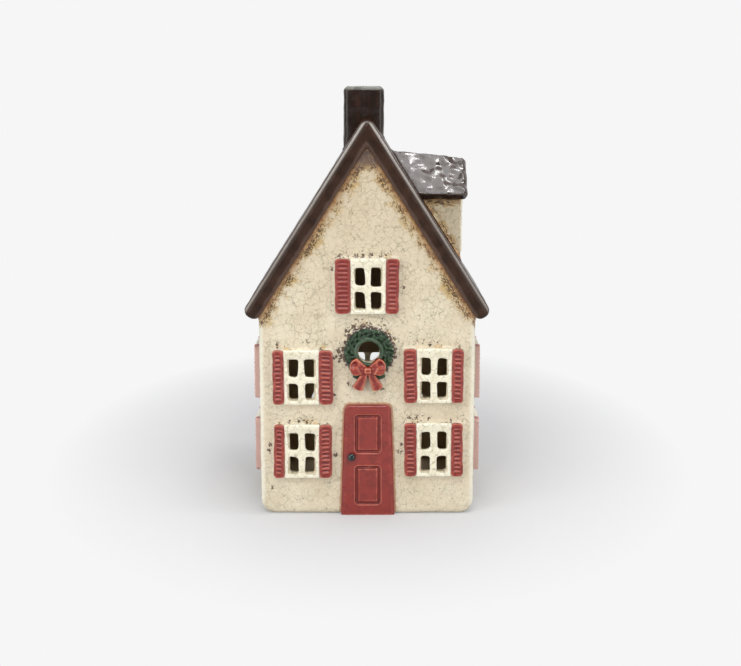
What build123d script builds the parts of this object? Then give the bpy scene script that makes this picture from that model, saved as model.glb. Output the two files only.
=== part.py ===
from build123d import *
import math
import os

# A hand-built ceramic tealight house, in millimetres.
# It stands on z = 0 with its door facing -Y, and the origin is at the centre of its base.
# The walls, roof slabs, frames, shutters and ornaments are cut from clay slabs and luted together.

# Body
body_width = 95.6
body_depth = 84.0
wall_thickness = 4.0
floor_thickness = 4.0
base_edge_radius = 6.5
corner_radius = 2.2

# Roof
roof_pitch = 57.5
wall_top = 103.2
ridge_radius = 3.7
roof_thickness = 7.5
eave_overhang = 7.1
rake_overhang = 4.0
eave_edge_radius = 3.2
rake_edge_radius = 2.0

# Chimney
chimney_width = 18.4
chimney_depth = 18.4
chimney_rise = 11.8
chimney_shift = -1.6
chimney_edge_radius = 2.6
chimney_rim_bevel = 1.6
flue_width = 9.6

# Dormer on the right-hand slope
dormer_width = 26.0
dormer_wall = 3.5
dormer_face = 42.7
dormer_ridge_drop = 16.7
dormer_ridge_droop = 3.9
dormer_eave_drop = 36.2
dormer_roof_width = 34.0
dormer_roof_thickness = 4.2
dormer_roof_end = 45.5
dormer_roof_start = 8.0
dormer_edge_bevel = 1.2
dormer_light_width = 15.0
dormer_light_height = 13.0
dormer_light_drop = 46.7
dormer_window_drop = 51.2

# Windows
pane_width = 4.2
pane_height = 7.6
pane_corner = 0.8
pane_bar = 3.2
frame_stile = 2.1
frame_head = 4.2
frame_sill = 2.0
frame_thickness = 2.8
frame_bevel = 0.8
dormer_frame_thickness = 1.2
dormer_frame_bevel = 0.4
shutter_width = 5.2
shutter_height = 24.2
shutter_thickness = 3.2
shutter_stile = 0.9
shutter_rail = 1.3
shutter_bevel = 0.5
slat_count = 11
slat_depth = 0.9

# Window places: each front column stands midway between the door and the wall's edge, nearly,
# and rows are shares of the wall's height, or of the ridge's height for the top window
left_column_shift = 0.85
right_column_shift = -0.25
right_column_lift = 0.7
upper_row_share = 0.611
lower_row_share = 0.285
top_window_shift = 0.5
top_row_share = 0.582
# Each front shutter was cut by eye: its share of the plain width, left and right of the frame
shutter_width_shares = {
    "top": (1.25, 1.04),
    "upper_left": (0.89, 1.15),
    "upper_right": (1.05, 0.93),
    "lower_left": (0.85, 1.04),
    "lower_right": (0.98, 0.94),
}

# Windows in the other walls: side columns are shares of half the depth
side_column_share = 0.44
back_pane_width = 6.6
back_pane_corner = 1.2
back_pane_top = 58.4
back_frame_head = 3.0

# Opening in the back, through which the tealight goes in, measured from the floor
mouth_width = 57.4
mouth_height = 40.0
mouth_shoulder_radius = 12.0
mouth_foot_width = 47.0
mouth_hip_height = 26.0
mouth_side_bulge = 0.6

# Door
door_shift = 0.3
door_foot_width = 24.2
door_head_width = 20.8
door_height = 50.6
door_thickness = 2.6
door_head_radius = 2.4
door_bevel = 0.7
door_panel_width = 12.3
door_panel_groove = 1.8
door_groove_depth = 0.9
door_upper_panel = (28.5, 47.3)
door_lower_panel = (4.2, 23.7)
knob_diameter = 3.6
knob_height = 2.6
knob_shift = -6.9
knob_row = 27.1
# Half the knob's section: shares of its radius and of its height
knob_shares = [(0, 0), (0.75, 0), (1, 0.35), (1, 0.6), (0.6, 1), (0, 1)]

# Wreath and bow
wreath_shift = 0.8
# Height of the wreath's middle: its share of the way from the door's head to the top window
wreath_row_share = 0.586
wreath_diameter = 24.2
wreath_bore = 9.8
wreath_height = 4.4
leaf_count = 18
leaf_notch = 1.3
# The ring's section from bore to rim: shares of its width and of its height
ring_shares = [(0, 0), (0, 0.55), (0.25, 0.95), (0.5, 1), (0.8, 0.85), (1, 0.4), (1, 0)]
bow_thickness = 1.6
bow_drop = 7.5
knot_width = 3.6
knot_height = 4.4
knot_rise = 0.8
bow_span = 15.8
loop_height = 7.4
loop_end_radius = 1.2
tail_drop = 9.8
tail_spread = 13.6
# Half a loop and one tail of the bow: shares of half the span and half the loop height,
# and of half the tails' spread and their drop
loop_shares = [(0, -0.4), (0.74, -1), (1, -0.55), (1, 0.6), (0.8, 1), (0, 0.4)]
tail_shares = [(0, 0), (0.3, 0), (1, -0.86), (0.66, -0.8), (0.4, -1)]

# Tealight
cup_diameter = 38.0
cup_height = 15.5
cup_skin = 0.4
cup_rim = 0.9
wax_height = 12.5
wax_gap = 0.1
wick_diameter = 1.4
wick_stand = 7.0
tab_diameter = 12.0
tab_thickness = 0.4
tealight_clearance = 0.3

# How far every cutting tool runs past what it cuts
overrun = 2.0

pitch = math.radians(roof_pitch)
half_width = body_width / 2
half_depth = body_depth / 2
rake_face = half_depth + rake_overhang
eave_reach = half_width + eave_overhang
frame_width = 2 * pane_width + pane_bar + 2 * frame_stile
frame_height = 2 * pane_height + pane_bar + frame_head + frame_sill
ridge_height = wall_top + half_width * math.tan(pitch)
chimney_top = ridge_height + chimney_rise
chimney_middle = (chimney_shift, 0)
dormer_ridge_inner = ridge_height - dormer_ridge_drop
dormer_ridge_outer = dormer_ridge_inner - dormer_ridge_droop
dormer_eave_height = ridge_height - dormer_eave_drop
dormer_light_middle = ridge_height - dormer_light_drop
dormer_window_row = ridge_height - dormer_window_drop
upper_row = wall_top * upper_row_share
lower_row = wall_top * lower_row_share
top_window_row = ridge_height * top_row_share
column_middle = (half_width + door_foot_width / 2) / 2
left_column = left_column_shift - column_middle
right_column = right_column_shift + column_middle
door_gap = top_window_row - frame_height / 2 - door_height
wreath_row = door_height + door_gap * wreath_row_share
bow_row = wreath_row - bow_drop

front_windows = {
    "top": (top_window_shift, top_window_row),
    "upper_left": (left_column, upper_row),
    "upper_right": (right_column, upper_row + right_column_lift),
    "lower_left": (left_column, lower_row),
    "lower_right": (right_column, lower_row + right_column_lift),
}
side_rows = {"upper": upper_row, "lower": lower_row}
side_columns = {
    "front": -half_depth * side_column_share,
    "back": half_depth * side_column_share,
}


# Height of the roof's outer face at a distance from the middle
def roof_height(x):
    return ridge_height - abs(x) * math.tan(pitch)


# Height of the roof's inner face at a distance from the middle
def ceiling_height(x):
    return roof_height(x) - roof_thickness / math.cos(pitch)


def box_between(low, high):
    sizes = [b - a for a, b in zip(low, high)]
    middle = [(a + b) / 2 for a, b in zip(low, high)]
    return Pos(*middle) * Box(*sizes)


# A flat outline in x and z, run from the plane y = back to the plane y = front
def run_along_y(outline, front, back):
    return extrude(Plane.XZ.offset(-back) * outline, amount=back - front)


def outline_of(points):
    return make_face(Polyline(*points, close=True))


def scaled_outline(shares, across, up):
    return outline_of([(x * across, y * up) for x, y in shares])


# Places a piece that was made facing -Y on the outside of a wall
def on_wall(wall, along, height):
    if wall == "front":
        return Pos(along, -half_depth, height)
    if wall == "back":
        return Pos(along, half_depth, height) * Rot(0, 0, 180)
    if wall == "left":
        return Pos(-half_width, along, height) * Rot(0, 0, -90)
    if wall == "dormer":
        return Pos(dormer_face, along, height) * Rot(0, 0, 90)
    return Pos(half_width, along, height) * Rot(0, 0, 90)


# The wiped outer shape that all slabs of the body share
def body_envelope():
    outline = RectangleRounded(body_width, 2 * ridge_height, base_edge_radius)
    shape = run_along_y(Pos(0, ridge_height) * outline, -half_depth, half_depth)
    corners = shape.edges().filter_by(Axis.Z)
    return fillet(corners, corner_radius)


def gable_outline():
    return outline_of([
        (-half_width, 0),
        (half_width, 0),
        (half_width, ceiling_height(half_width)),
        (0, ceiling_height(0)),
        (-half_width, ceiling_height(half_width)),
    ])


# The light that one four-pane frame lets through its wall
def window_light():
    light_width = frame_width - 2 * frame_stile
    light_height = frame_height - frame_head - frame_sill
    reach = wall_thickness + overrun
    middle = (frame_sill - frame_head) / 2
    return Pos(0, 0, middle) * Box(light_width, 2 * reach, light_height)


def front_wall(envelope):
    wall = run_along_y(gable_outline(), -half_depth, wall_thickness - half_depth)
    for column, row in front_windows.values():
        wall -= on_wall("front", column, row) * window_light()
    bore = Cylinder(wreath_bore / 2, 2 * wall_thickness + overrun)
    wall -= Pos(wreath_shift, -half_depth, wreath_row) * Rot(90, 0, 0) * bore
    return wall & envelope


# The mouth narrows to the floor, bulges at the hips and has round shoulders
def mouth_outline():
    half_mouth = mouth_width / 2
    half_foot = mouth_foot_width / 2
    shoulder = mouth_height - mouth_shoulder_radius
    lean = mouth_side_bulge + (half_foot + half_mouth) / 2
    side = mouth_hip_height / 2
    edges = [
        Line((-half_foot, 0), (half_foot, 0)),
        ThreePointArc((half_foot, 0), (lean, side), (half_mouth, mouth_hip_height)),
        Line((half_mouth, mouth_hip_height), (half_mouth, shoulder)),
        RadiusArc((half_mouth, shoulder), (half_mouth - mouth_shoulder_radius, mouth_height),
                  -mouth_shoulder_radius),
        Line((half_mouth - mouth_shoulder_radius, mouth_height),
             (mouth_shoulder_radius - half_mouth, mouth_height)),
        RadiusArc((mouth_shoulder_radius - half_mouth, mouth_height), (-half_mouth, shoulder),
                  -mouth_shoulder_radius),
        Line((-half_mouth, shoulder), (-half_mouth, mouth_hip_height)),
        ThreePointArc((-half_mouth, mouth_hip_height), (-lean, side), (-half_foot, 0)),
    ]
    return make_face(Curve() + edges)


def back_wall(envelope):
    wall = run_along_y(gable_outline(), half_depth - wall_thickness, half_depth)
    wall -= run_along_y(Pos(0, floor_thickness) * mouth_outline(), 0, half_depth + overrun)
    light_width = 2 * back_pane_width + pane_bar
    light = Box(light_width, 2 * wall_thickness + overrun, pane_height)
    wall -= Pos(0, half_depth, back_pane_top - pane_height / 2) * light
    return wall & envelope


# The side walls stand between the gable walls, and their tops follow the roof's inner face
def side_wall(side, envelope):
    inner = half_width - wall_thickness
    outline = outline_of([
        (inner, 0),
        (half_width, 0),
        (half_width, ceiling_height(half_width)),
        (inner, ceiling_height(inner)),
    ])
    reach = half_depth - wall_thickness
    wall = run_along_y(outline, -reach, reach)
    if side == "left":
        wall = mirror(wall, Plane.YZ)
    for row in side_rows.values():
        for column in side_columns.values():
            wall -= on_wall(side, column, row) * window_light()
    return wall & envelope


def floor_slab(envelope):
    across = half_width - wall_thickness
    along = half_depth - wall_thickness
    return box_between((-across, -along, 0), (across, along, floor_thickness)) & envelope


# The outline of both roof slabs together, with its round ridge and eaves
def roof_outline():
    eave_in = eave_reach - roof_thickness * math.sin(pitch)
    eave_low = roof_height(eave_reach) - roof_thickness * math.cos(pitch)
    outline = outline_of([
        (0, ridge_height),
        (eave_reach, roof_height(eave_reach)),
        (eave_in, eave_low),
        (0, ceiling_height(0)),
        (-eave_in, eave_low),
        (-eave_reach, roof_height(eave_reach)),
    ])
    ridge = outline.vertices().sort_by(Axis.Y)[-1]
    outline = fillet(ridge, ridge_radius)
    eaves = [v for v in outline.vertices() if abs(v.X) > half_width - roof_thickness]
    return fillet(eaves, eave_edge_radius)


# Everything below the roof's outer face, to cut what stands on the roof
def under_roof():
    outline = outline_of([
        (0, ridge_height),
        (eave_reach, roof_height(eave_reach)),
        (-eave_reach, roof_height(eave_reach)),
    ])
    ridge = outline.vertices().sort_by(Axis.Y)[-1]
    return run_along_y(fillet(ridge, ridge_radius), -rake_face, rake_face)


def flue_hole():
    outline = Rectangle(flue_width, flue_width)
    return extrude(Pos(*chimney_middle) * outline, amount=chimney_top + overrun)


def dormer_light():
    low = dormer_light_middle - dormer_light_height / 2
    high = dormer_light_middle + dormer_light_height / 2
    side = dormer_light_width / 2
    return box_between((0, -side, low), (dormer_face - dormer_wall, side, high))


def roof_slab(side, dormer_hole):
    blank = run_along_y(roof_outline(), -rake_face, rake_face)
    keep = Keep.TOP if side == "right" else Keep.BOTTOM
    slab = split(blank, bisect_by=Plane.YZ, keep=keep)
    rakes = [e for e in slab.edges() if abs(abs(e.center().Y) - rake_face) < overrun / 100]
    rakes = [e for e in rakes if abs(e.center().X) > ridge_radius / 100]
    slab = fillet(rakes, rake_edge_radius)
    slab -= flue_hole()
    if dormer_hole:
        slab -= dormer_light()
    return slab


# The chimney saddles the ridge and its flue opens into the attic
def chimney():
    foot = roof_height(chimney_width)
    outline = Pos(*chimney_middle) * Rectangle(chimney_width, chimney_depth)
    stack = extrude(Pos(0, 0, foot) * outline, amount=chimney_top - foot)
    stack = fillet(stack.edges().filter_by(Axis.Z), chimney_edge_radius)
    stack = chamfer(stack.faces().sort_by(Axis.Z)[-1].edges(), chimney_rim_bevel)
    return stack - under_roof() - flue_hole()


# Half of the dormer's roof section at one station along x, on the side where y is negative
def dormer_slope_section(x, ridge):
    run = dormer_roof_width / 2
    slope = math.atan2(ridge - dormer_eave_height, run)
    eave_in = run - dormer_roof_thickness * math.sin(slope)
    eave_low = dormer_eave_height - dormer_roof_thickness * math.cos(slope)
    inner_ridge = ridge - dormer_roof_thickness / math.cos(slope)
    outline = outline_of([
        (0, ridge),
        (-run, dormer_eave_height),
        (-eave_in, eave_low),
        (0, inner_ridge),
    ])
    return Plane.YZ.offset(x) * outline


# The dormer's ridge droops towards its outer end
def dormer_slope(side):
    inner = dormer_slope_section(dormer_roof_start, dormer_ridge_inner)
    outer = dormer_slope_section(dormer_roof_end, dormer_ridge_outer)
    slab = loft([inner, outer], ruled=True)
    end_edges = [e for e in slab.edges() if abs(e.center().X - dormer_roof_end) < overrun / 100]
    end_edges = [e for e in end_edges if abs(e.center().Y) > dormer_edge_bevel / 2]
    slab = chamfer(end_edges, dormer_edge_bevel)
    slab -= under_roof()
    if side == "back":
        slab = mirror(slab, Plane.XZ)
    return slab


# The dormer's room below its own roof, full, from the main ridge to the gable's face
def dormer_room_section(x, ridge):
    run = dormer_roof_width / 2
    slope = math.atan2(ridge - dormer_eave_height, run)
    peak = ridge - dormer_roof_thickness / math.cos(slope)
    side = dormer_width / 2
    foot = roof_height(dormer_face)
    outline = outline_of([
        (-side, foot),
        (side, foot),
        (side, peak - side * math.tan(slope)),
        (0, peak),
        (-side, peak - side * math.tan(slope)),
    ])
    return Plane.YZ.offset(x) * outline


def dormer_room():
    inner = dormer_room_section(dormer_roof_start, dormer_ridge_inner)
    outer = dormer_room_section(dormer_roof_end, dormer_ridge_outer)
    return loft([inner, outer], ruled=True) - under_roof()


def dormer_gable(room):
    side = dormer_width / 2
    slab = box_between(
        (dormer_face - dormer_wall, -side, 0),
        (dormer_face, side, ridge_height),
    )
    wall = room & slab
    return wall - on_wall("dormer", 0, dormer_window_row) * window_light()


def dormer_cheek(side, room):
    outer = dormer_width / 2
    slab = box_between(
        (0, -outer, 0),
        (dormer_face - dormer_wall, dormer_wall - outer, ridge_height),
    )
    if side == "back":
        slab = mirror(slab, Plane.XZ)
    return room & slab


# A frame that faces -Y, with its back at y = 0 and its middle at the origin
def framed_panes(panes_across, panes_up, width, head, corner, thickness, bevel):
    outer_width = panes_across * width + (panes_across - 1) * pane_bar + 2 * frame_stile
    outer_height = panes_up * pane_height + (panes_up - 1) * pane_bar + head + frame_sill
    frame = Pos(0, -thickness / 2, 0) * Box(outer_width, thickness, outer_height)
    front = frame.faces().sort_by(Axis.Y)[0]
    frame = chamfer(front.edges(), bevel)
    middle = (frame_sill - head) / 2
    pane = chamfer(Rectangle(width, pane_height).vertices(), corner)
    panes = GridLocations(width + pane_bar, pane_height + pane_bar, panes_across, panes_up) * pane
    for outline in panes:
        frame -= run_along_y(Pos(0, middle) * outline, -thickness - overrun, overrun)
    return frame


def four_pane_frame():
    return framed_panes(2, 2, pane_width, frame_head, pane_corner, frame_thickness, frame_bevel)


# The dormer's frame is thin, to stay under its eaves
def thin_four_pane_frame():
    return framed_panes(
        2, 2, pane_width, frame_head, pane_corner, dormer_frame_thickness, dormer_frame_bevel
    )


def two_pane_frame():
    return framed_panes(
        2, 1, back_pane_width, back_frame_head, back_pane_corner, frame_thickness, frame_bevel
    )


# A louvred shutter that faces -Y: its slats are sloping grooves between two stiles
def shutter(width_share):
    width = shutter_width * width_share
    board = Pos(0, -shutter_thickness / 2, 0) * Box(width, shutter_thickness, shutter_height)
    front = board.faces().sort_by(Axis.Y)[0]
    board = chamfer(front.edges(), shutter_bevel)
    slat_pitch = (shutter_height - 2 * shutter_rail) / slat_count
    groove = Plane.YZ * outline_of([
        (-shutter_thickness - overrun, 0),
        (-shutter_thickness, 0),
        (slat_depth - shutter_thickness, slat_pitch),
        (-shutter_thickness - overrun, slat_pitch),
    ])
    groove = extrude(groove, amount=width / 2 - shutter_stile, both=True)
    foot = shutter_rail - shutter_height / 2
    for index in range(slat_count):
        board -= Pos(0, 0, foot + index * slat_pitch) * groove
    return board


# Distance from a window's middle to the middle of a shutter beside it
def shutter_offset(width_share):
    return (frame_width + shutter_width * width_share) / 2


def door():
    foot = door_foot_width / 2
    head = door_head_width / 2
    outline = outline_of([(-foot, 0), (foot, 0), (head, door_height), (-head, door_height)])
    top = outline.vertices().sort_by(Axis.Y)[-2:]
    outline = fillet(top, door_head_radius)
    leaf = run_along_y(outline, -door_thickness, 0)
    front = leaf.faces().sort_by(Axis.Y)[0]
    edges = [e for e in front.edges() if e.center().Z > door_bevel]
    leaf = chamfer(edges, door_bevel)
    for low, high in (door_upper_panel, door_lower_panel):
        groove = Box(door_panel_width, 2 * door_groove_depth, high - low)
        groove -= Box(
            door_panel_width - 2 * door_panel_groove,
            2 * door_groove_depth,
            high - low - 2 * door_panel_groove,
        )
        leaf -= Pos(0, -door_thickness, (low + high) / 2) * groove
    return Pos(door_shift, -half_depth, 0) * leaf


# A round button with a bevelled face
def door_knob():
    radius = knob_diameter / 2
    section = scaled_outline(knob_shares, radius, knob_height)
    knob = revolve(Plane.XZ * section, axis=Axis.Z)
    return Pos(knob_shift, -half_depth - door_thickness, knob_row) * Rot(90, 0, 0) * knob


# A ring of leaf tips, domed from bore to rim
def wreath():
    tips = []
    for index in range(2 * leaf_count):
        reach = wreath_diameter / 2 - leaf_notch * (index % 2)
        turn = math.pi * index / leaf_count
        tips.append((reach * math.cos(turn), reach * math.sin(turn)))
    leaves = extrude(outline_of(tips), amount=wreath_height)
    ring_width = (wreath_diameter - wreath_bore) / 2
    section = Pos(wreath_bore / 2, 0) * scaled_outline(ring_shares, ring_width, wreath_height)
    leaves &= revolve(Plane.XZ * section, axis=Axis.Z)
    return Pos(wreath_shift, -half_depth, wreath_row) * Rot(90, 0, 0) * leaves


# Two loops, two tails and a knot, laid over the lower part of the wreath
def bow(ring):
    loop = scaled_outline(loop_shares, bow_span / 2, loop_height / 2)
    ends = [v for v in loop.vertices() if v.X > bow_span / 4]
    loop = fillet(ends, loop_end_radius)
    tail = scaled_outline(tail_shares, tail_spread / 2, tail_drop)
    half = loop + tail
    ribbon_top = wreath_height + bow_thickness
    ribbon = extrude(half + mirror(half, Plane.YZ), amount=ribbon_top)
    ribbon += extrude(Rectangle(knot_width, knot_height), amount=ribbon_top + knot_rise)
    place = Pos(wreath_shift, -half_depth, bow_row) * Rot(90, 0, 0)
    return place * ribbon - ring


# The tealight stands in the middle of the floor
def tealight():
    foot = floor_thickness + tealight_clearance
    radius = cup_diameter / 2
    cup_outline = outline_of([
        (0, 0),
        (radius - cup_rim, 0),
        (radius - cup_rim, cup_height - cup_skin),
        (radius, cup_height - cup_skin),
        (radius, cup_height),
        (radius - cup_rim - cup_skin, cup_height),
        (radius - cup_rim - cup_skin, cup_skin),
        (0, cup_skin),
    ])
    cup = revolve(Plane.XZ * cup_outline, axis=Axis.Z)
    tab = Pos(0, 0, cup_skin + tab_thickness / 2) * Cylinder(tab_diameter / 2, tab_thickness)
    wax_foot = cup_skin + tab_thickness
    wax_radius = radius - cup_rim - cup_skin - wax_gap
    wax = Pos(0, 0, wax_foot + wax_height / 2) * Cylinder(wax_radius, wax_height)
    wick_length = wax_height + wick_stand
    wick = Pos(0, 0, wax_foot + wick_length / 2) * Cylinder(wick_diameter / 2, wick_length)
    wax -= wick
    pieces = {"candle_cup": cup, "wick_tab": tab, "candle_wax": wax, "candle_wick": wick}
    return {name: Pos(0, 0, foot) * piece for name, piece in pieces.items()}


def shell_nodes():
    envelope = body_envelope()
    room = dormer_room()
    return {
        "floor_slab": floor_slab(envelope),
        "front_wall": front_wall(envelope),
        "back_wall": back_wall(envelope),
        "left_wall": side_wall("left", envelope),
        "right_wall": side_wall("right", envelope),
        "left_roof_slab": roof_slab("left", False),
        "right_roof_slab": roof_slab("right", True),
        "chimney": chimney(),
        "dormer_gable": dormer_gable(room),
        "dormer_front_cheek": dormer_cheek("front", room),
        "dormer_back_cheek": dormer_cheek("back", room),
        "dormer_front_slope": dormer_slope("front"),
        "dormer_back_slope": dormer_slope("back"),
    }


def front_window_nodes():
    nodes = {}
    for name, (column, row) in front_windows.items():
        nodes[f"{name}_window_frame"] = on_wall("front", column, row) * four_pane_frame()
        left_share, right_share = shutter_width_shares[name]
        left_column_x = column - shutter_offset(left_share)
        right_column_x = column + shutter_offset(right_share)
        nodes[f"{name}_left_shutter"] = on_wall("front", left_column_x, row) * shutter(left_share)
        nodes[f"{name}_right_shutter"] = on_wall("front", right_column_x, row) * shutter(right_share)
    return nodes


def side_window_nodes():
    nodes = {}
    offset = shutter_offset(1)
    for side in ("left", "right"):
        for storey, row in side_rows.items():
            for end, column in side_columns.items():
                name = f"{side}_{storey}_{end}"
                nodes[f"{name}_window_frame"] = on_wall(side, column, row) * four_pane_frame()
                pair = [on_wall(side, column + way * offset, row) * shutter(1) for way in (-1, 1)]
                nodes[f"{name}_shutters"] = Compound(children=pair)
    return nodes


def other_window_nodes():
    back_middle = back_pane_top - (pane_height + frame_sill - back_frame_head) / 2
    return {
        "dormer_window_frame": on_wall("dormer", 0, dormer_window_row) * thin_four_pane_frame(),
        "back_window_frame": on_wall("back", 0, back_middle) * two_pane_frame(),
    }


def ornament_nodes():
    ring = wreath()
    return {"door": door(), "door_knob": door_knob(), "wreath": ring, "bow": bow(ring)}


def main():
    nodes = {}
    nodes.update(shell_nodes())
    nodes.update(front_window_nodes())
    nodes.update(side_window_nodes())
    nodes.update(other_window_nodes())
    nodes.update(ornament_nodes())
    nodes.update(tealight())
    os.makedirs("parts", exist_ok=True)
    for name, shape in nodes.items():
        export_step(shape, f"parts/{name}.step")
        print(name, round(shape.volume, 1))


main()
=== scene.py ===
import math
import random

import bpy
import numpy as np
from mathutils import Matrix, Vector
from mathutils.bvhtree import BVHTree


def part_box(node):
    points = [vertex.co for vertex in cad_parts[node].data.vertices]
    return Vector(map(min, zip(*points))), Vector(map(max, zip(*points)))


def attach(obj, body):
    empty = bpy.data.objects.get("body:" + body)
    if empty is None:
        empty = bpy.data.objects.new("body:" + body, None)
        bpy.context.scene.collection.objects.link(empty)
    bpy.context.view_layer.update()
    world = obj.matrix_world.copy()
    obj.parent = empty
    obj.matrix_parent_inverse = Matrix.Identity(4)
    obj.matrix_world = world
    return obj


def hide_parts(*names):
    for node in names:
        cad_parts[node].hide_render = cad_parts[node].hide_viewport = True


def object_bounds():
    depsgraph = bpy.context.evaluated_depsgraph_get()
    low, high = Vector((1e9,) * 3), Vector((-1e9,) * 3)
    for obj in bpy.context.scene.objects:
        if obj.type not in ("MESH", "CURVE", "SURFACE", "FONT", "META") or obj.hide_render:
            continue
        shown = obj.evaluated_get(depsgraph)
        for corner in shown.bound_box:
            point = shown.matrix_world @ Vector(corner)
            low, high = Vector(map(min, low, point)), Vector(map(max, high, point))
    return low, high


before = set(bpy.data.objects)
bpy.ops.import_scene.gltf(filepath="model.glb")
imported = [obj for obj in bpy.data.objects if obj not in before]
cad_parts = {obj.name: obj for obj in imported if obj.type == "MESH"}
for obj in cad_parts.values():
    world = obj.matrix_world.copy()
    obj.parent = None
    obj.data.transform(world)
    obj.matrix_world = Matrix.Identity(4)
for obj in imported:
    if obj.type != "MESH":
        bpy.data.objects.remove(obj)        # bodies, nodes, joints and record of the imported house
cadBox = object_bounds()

print("frame loaded:", len(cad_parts), "nodes")

mm = 0.001
hair = 0.1 * mm    # places nearer than this count as one
random.seed(11)


# Working with the operators

def objectMode():
    bpy.ops.object.mode_set(mode="OBJECT")


def editMode():
    bpy.ops.object.mode_set(mode="EDIT")


def startFresh():
    if bpy.context.mode != "OBJECT":
        objectMode()
    bpy.ops.object.select_all(action="DESELECT")


def pickOnly(piece):
    startFresh()
    piece.select_set(True)
    bpy.context.view_layer.objects.active = piece


def openMesh(piece, action="SELECT"):    # edit mode, with all of the mesh picked or none of it
    pickOnly(piece)
    editMode()
    bpy.ops.mesh.select_all(action=action)


def pickParts(piece, kind, wanted):    # edit mode, with the wanted faces or edges picked
    openMesh(piece, "DESELECT")
    bpy.ops.mesh.select_mode(type=kind)
    objectMode()
    points = piece.data.vertices
    for part in piece.data.polygons if kind == "FACE" else piece.data.edges:
        clues = (part.center, part.normal) if kind == "FACE" else [points[i].co for i in part.vertices]
        part.select = bool(wanted(*clues))
    editMode()


def applyModifier(piece, kind, **settings):
    pickOnly(piece)
    modifier = piece.modifiers.new(kind.lower(), kind)
    for key, value in settings.items():
        setattr(modifier, key, value)
    bpy.ops.object.modifier_apply(modifier=modifier.name)


def settle(piece):    # the place goes into the mesh
    pickOnly(piece)
    bpy.ops.object.transform_apply(location=True, rotation=True, scale=True)


def moveTo(piece, spot):
    piece.location = spot
    settle(piece)


def smoothUnder(piece, angle):    # edges sharper than this stay sharp
    pickOnly(piece)
    bpy.ops.object.shade_smooth_by_angle(angle=math.radians(angle))


def mergePoints(piece, mend=True):    # mend: the faces are turned outwards too
    openMesh(piece)
    bpy.ops.mesh.remove_doubles(threshold=0.001 * mm)
    if mend:
        bpy.ops.mesh.normals_make_consistent(inside=False)
    objectMode()


def newPiece(name, mesh):
    piece = bpy.data.objects.new(name, mesh)
    bpy.context.collection.objects.link(piece)
    return piece


def joinAll(pieces, name):
    startFresh()
    for piece in pieces:
        piece.select_set(True)
    bpy.context.view_layer.objects.active = pieces[0]
    if len(pieces) > 1:
        bpy.ops.object.join()
    pieces[0].name = name
    return pieces[0]


def copyOfNodes(name, nodes):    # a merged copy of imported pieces, to be worked over
    copies = [newPiece(name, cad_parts[node].data.copy()) for node in nodes]
    for twin in copies:
        twin.data.materials.clear()
    whole = joinAll(copies, name)
    mergePoints(whole, False)
    return whole


def cutFrom(source, name, planes):    # the part of a closed mesh behind every plane, closed again
    piece = newPiece(name, source.data.copy())
    piece.data.transform(Matrix.Scale(1 / mm, 4))    # the fill loses edges shorter than 0.03 units
    openMesh(piece)
    for axis, place, way in planes:
        spot, outward = Vector(), Vector()
        spot["xyz".index(axis)] = place / mm
        outward["xyz".index(axis)] = way
        bpy.ops.mesh.select_all(action="SELECT")
        bpy.ops.mesh.bisect(plane_co=spot, plane_no=outward, use_fill=True, clear_outer=True)
    objectMode()
    piece.data.transform(Matrix.Scale(mm, 4))
    smoothUnder(piece, 50)
    return piece


# Points, distances and painted fields

def readPoints(piece, what="co"):
    points = np.empty(len(piece.data.vertices) * 3)
    piece.data.vertices.foreach_get(what, points)
    return points.reshape(-1, 3)


def movePoints(piece, points):
    piece.data.vertices.foreach_set("co", points.ravel())
    piece.data.update()


def paint(piece, name, values):
    layer = piece.data.attributes.new(name, "FLOAT", "POINT")
    layer.data.foreach_set("value", (np.zeros(len(layer.data)) + values).astype(np.float32))


def closenessTo(piece, nodes, reach):    # 1 on the nodes, 0 at the reach; and the stain's share, less below
    points, faces = [], []
    for node in nodes:
        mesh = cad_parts[node].data
        start = len(points)
        points += [point.co.copy() for point in mesh.vertices]
        faces += [[start + i for i in face.vertices] for face in mesh.polygons]
    tree = BVHTree.FromPolygons(points, faces)
    closeness, above = np.zeros((2, len(piece.data.vertices)))
    for index, point in enumerate(piece.data.vertices):
        spot, _, _, far = tree.find_nearest(point.co, reach)
        if spot is not None:
            closeness[index] = 1 - far / reach
            above[index] = (point.co.z - spot.z) / max(far, 0.05 * mm)
    return closeness, 0.3 + 0.7 * np.clip(above, 0, 1)


def paintWearAndSheen(piece, rounds, depth, share=1.0):    # 0.5 on flats, 1 on worn edges, 0 in grooves; the light ridges also stand as a painted highlight
    mesh = piece.data
    count = len(mesh.vertices)
    edges = np.empty(len(mesh.edges) * 2, dtype=np.int64)
    mesh.edges.foreach_get("vertices", edges)
    first, second = edges.reshape(-1, 2).T
    degree = np.bincount(edges, minlength=count).astype(float)
    points = readPoints(piece)
    soft = points.copy()
    for step in range(rounds):
        total = np.empty_like(soft)
        for axis in range(3):
            total[:, axis] = np.bincount(first, weights=soft[second, axis], minlength=count)
            total[:, axis] += np.bincount(second, weights=soft[first, axis], minlength=count)
        soft = total / degree[:, None]
    bulge = ((points - soft) * readPoints(piece, "normal")).sum(axis=1)
    paint(piece, "wearAndSheen", np.clip(0.5 + 0.5 * share * bulge / depth, 0, 1))


def drawUp(piece, closeness, reach, height, width):    # a fillet of clay where a neighbour stands
    near = np.clip(1 - (1 - closeness) * reach / width, 0, 1)
    movePoints(piece, readPoints(piece) + readPoints(piece, "normal") * (height * near ** 2)[:, None])


def lumpTexture(name, size, detail=2):
    texture = bpy.data.textures.new(name, "CLOUDS")
    texture.noise_scale = size
    texture.noise_depth = detail
    return texture


handLumps = lumpTexture("handLumps", 9 * mm)
toolLumps = lumpTexture("toolLumps", 3.2 * mm)
dormerLumps = lumpTexture("dormerLumps", 8 * mm, 1)


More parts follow.
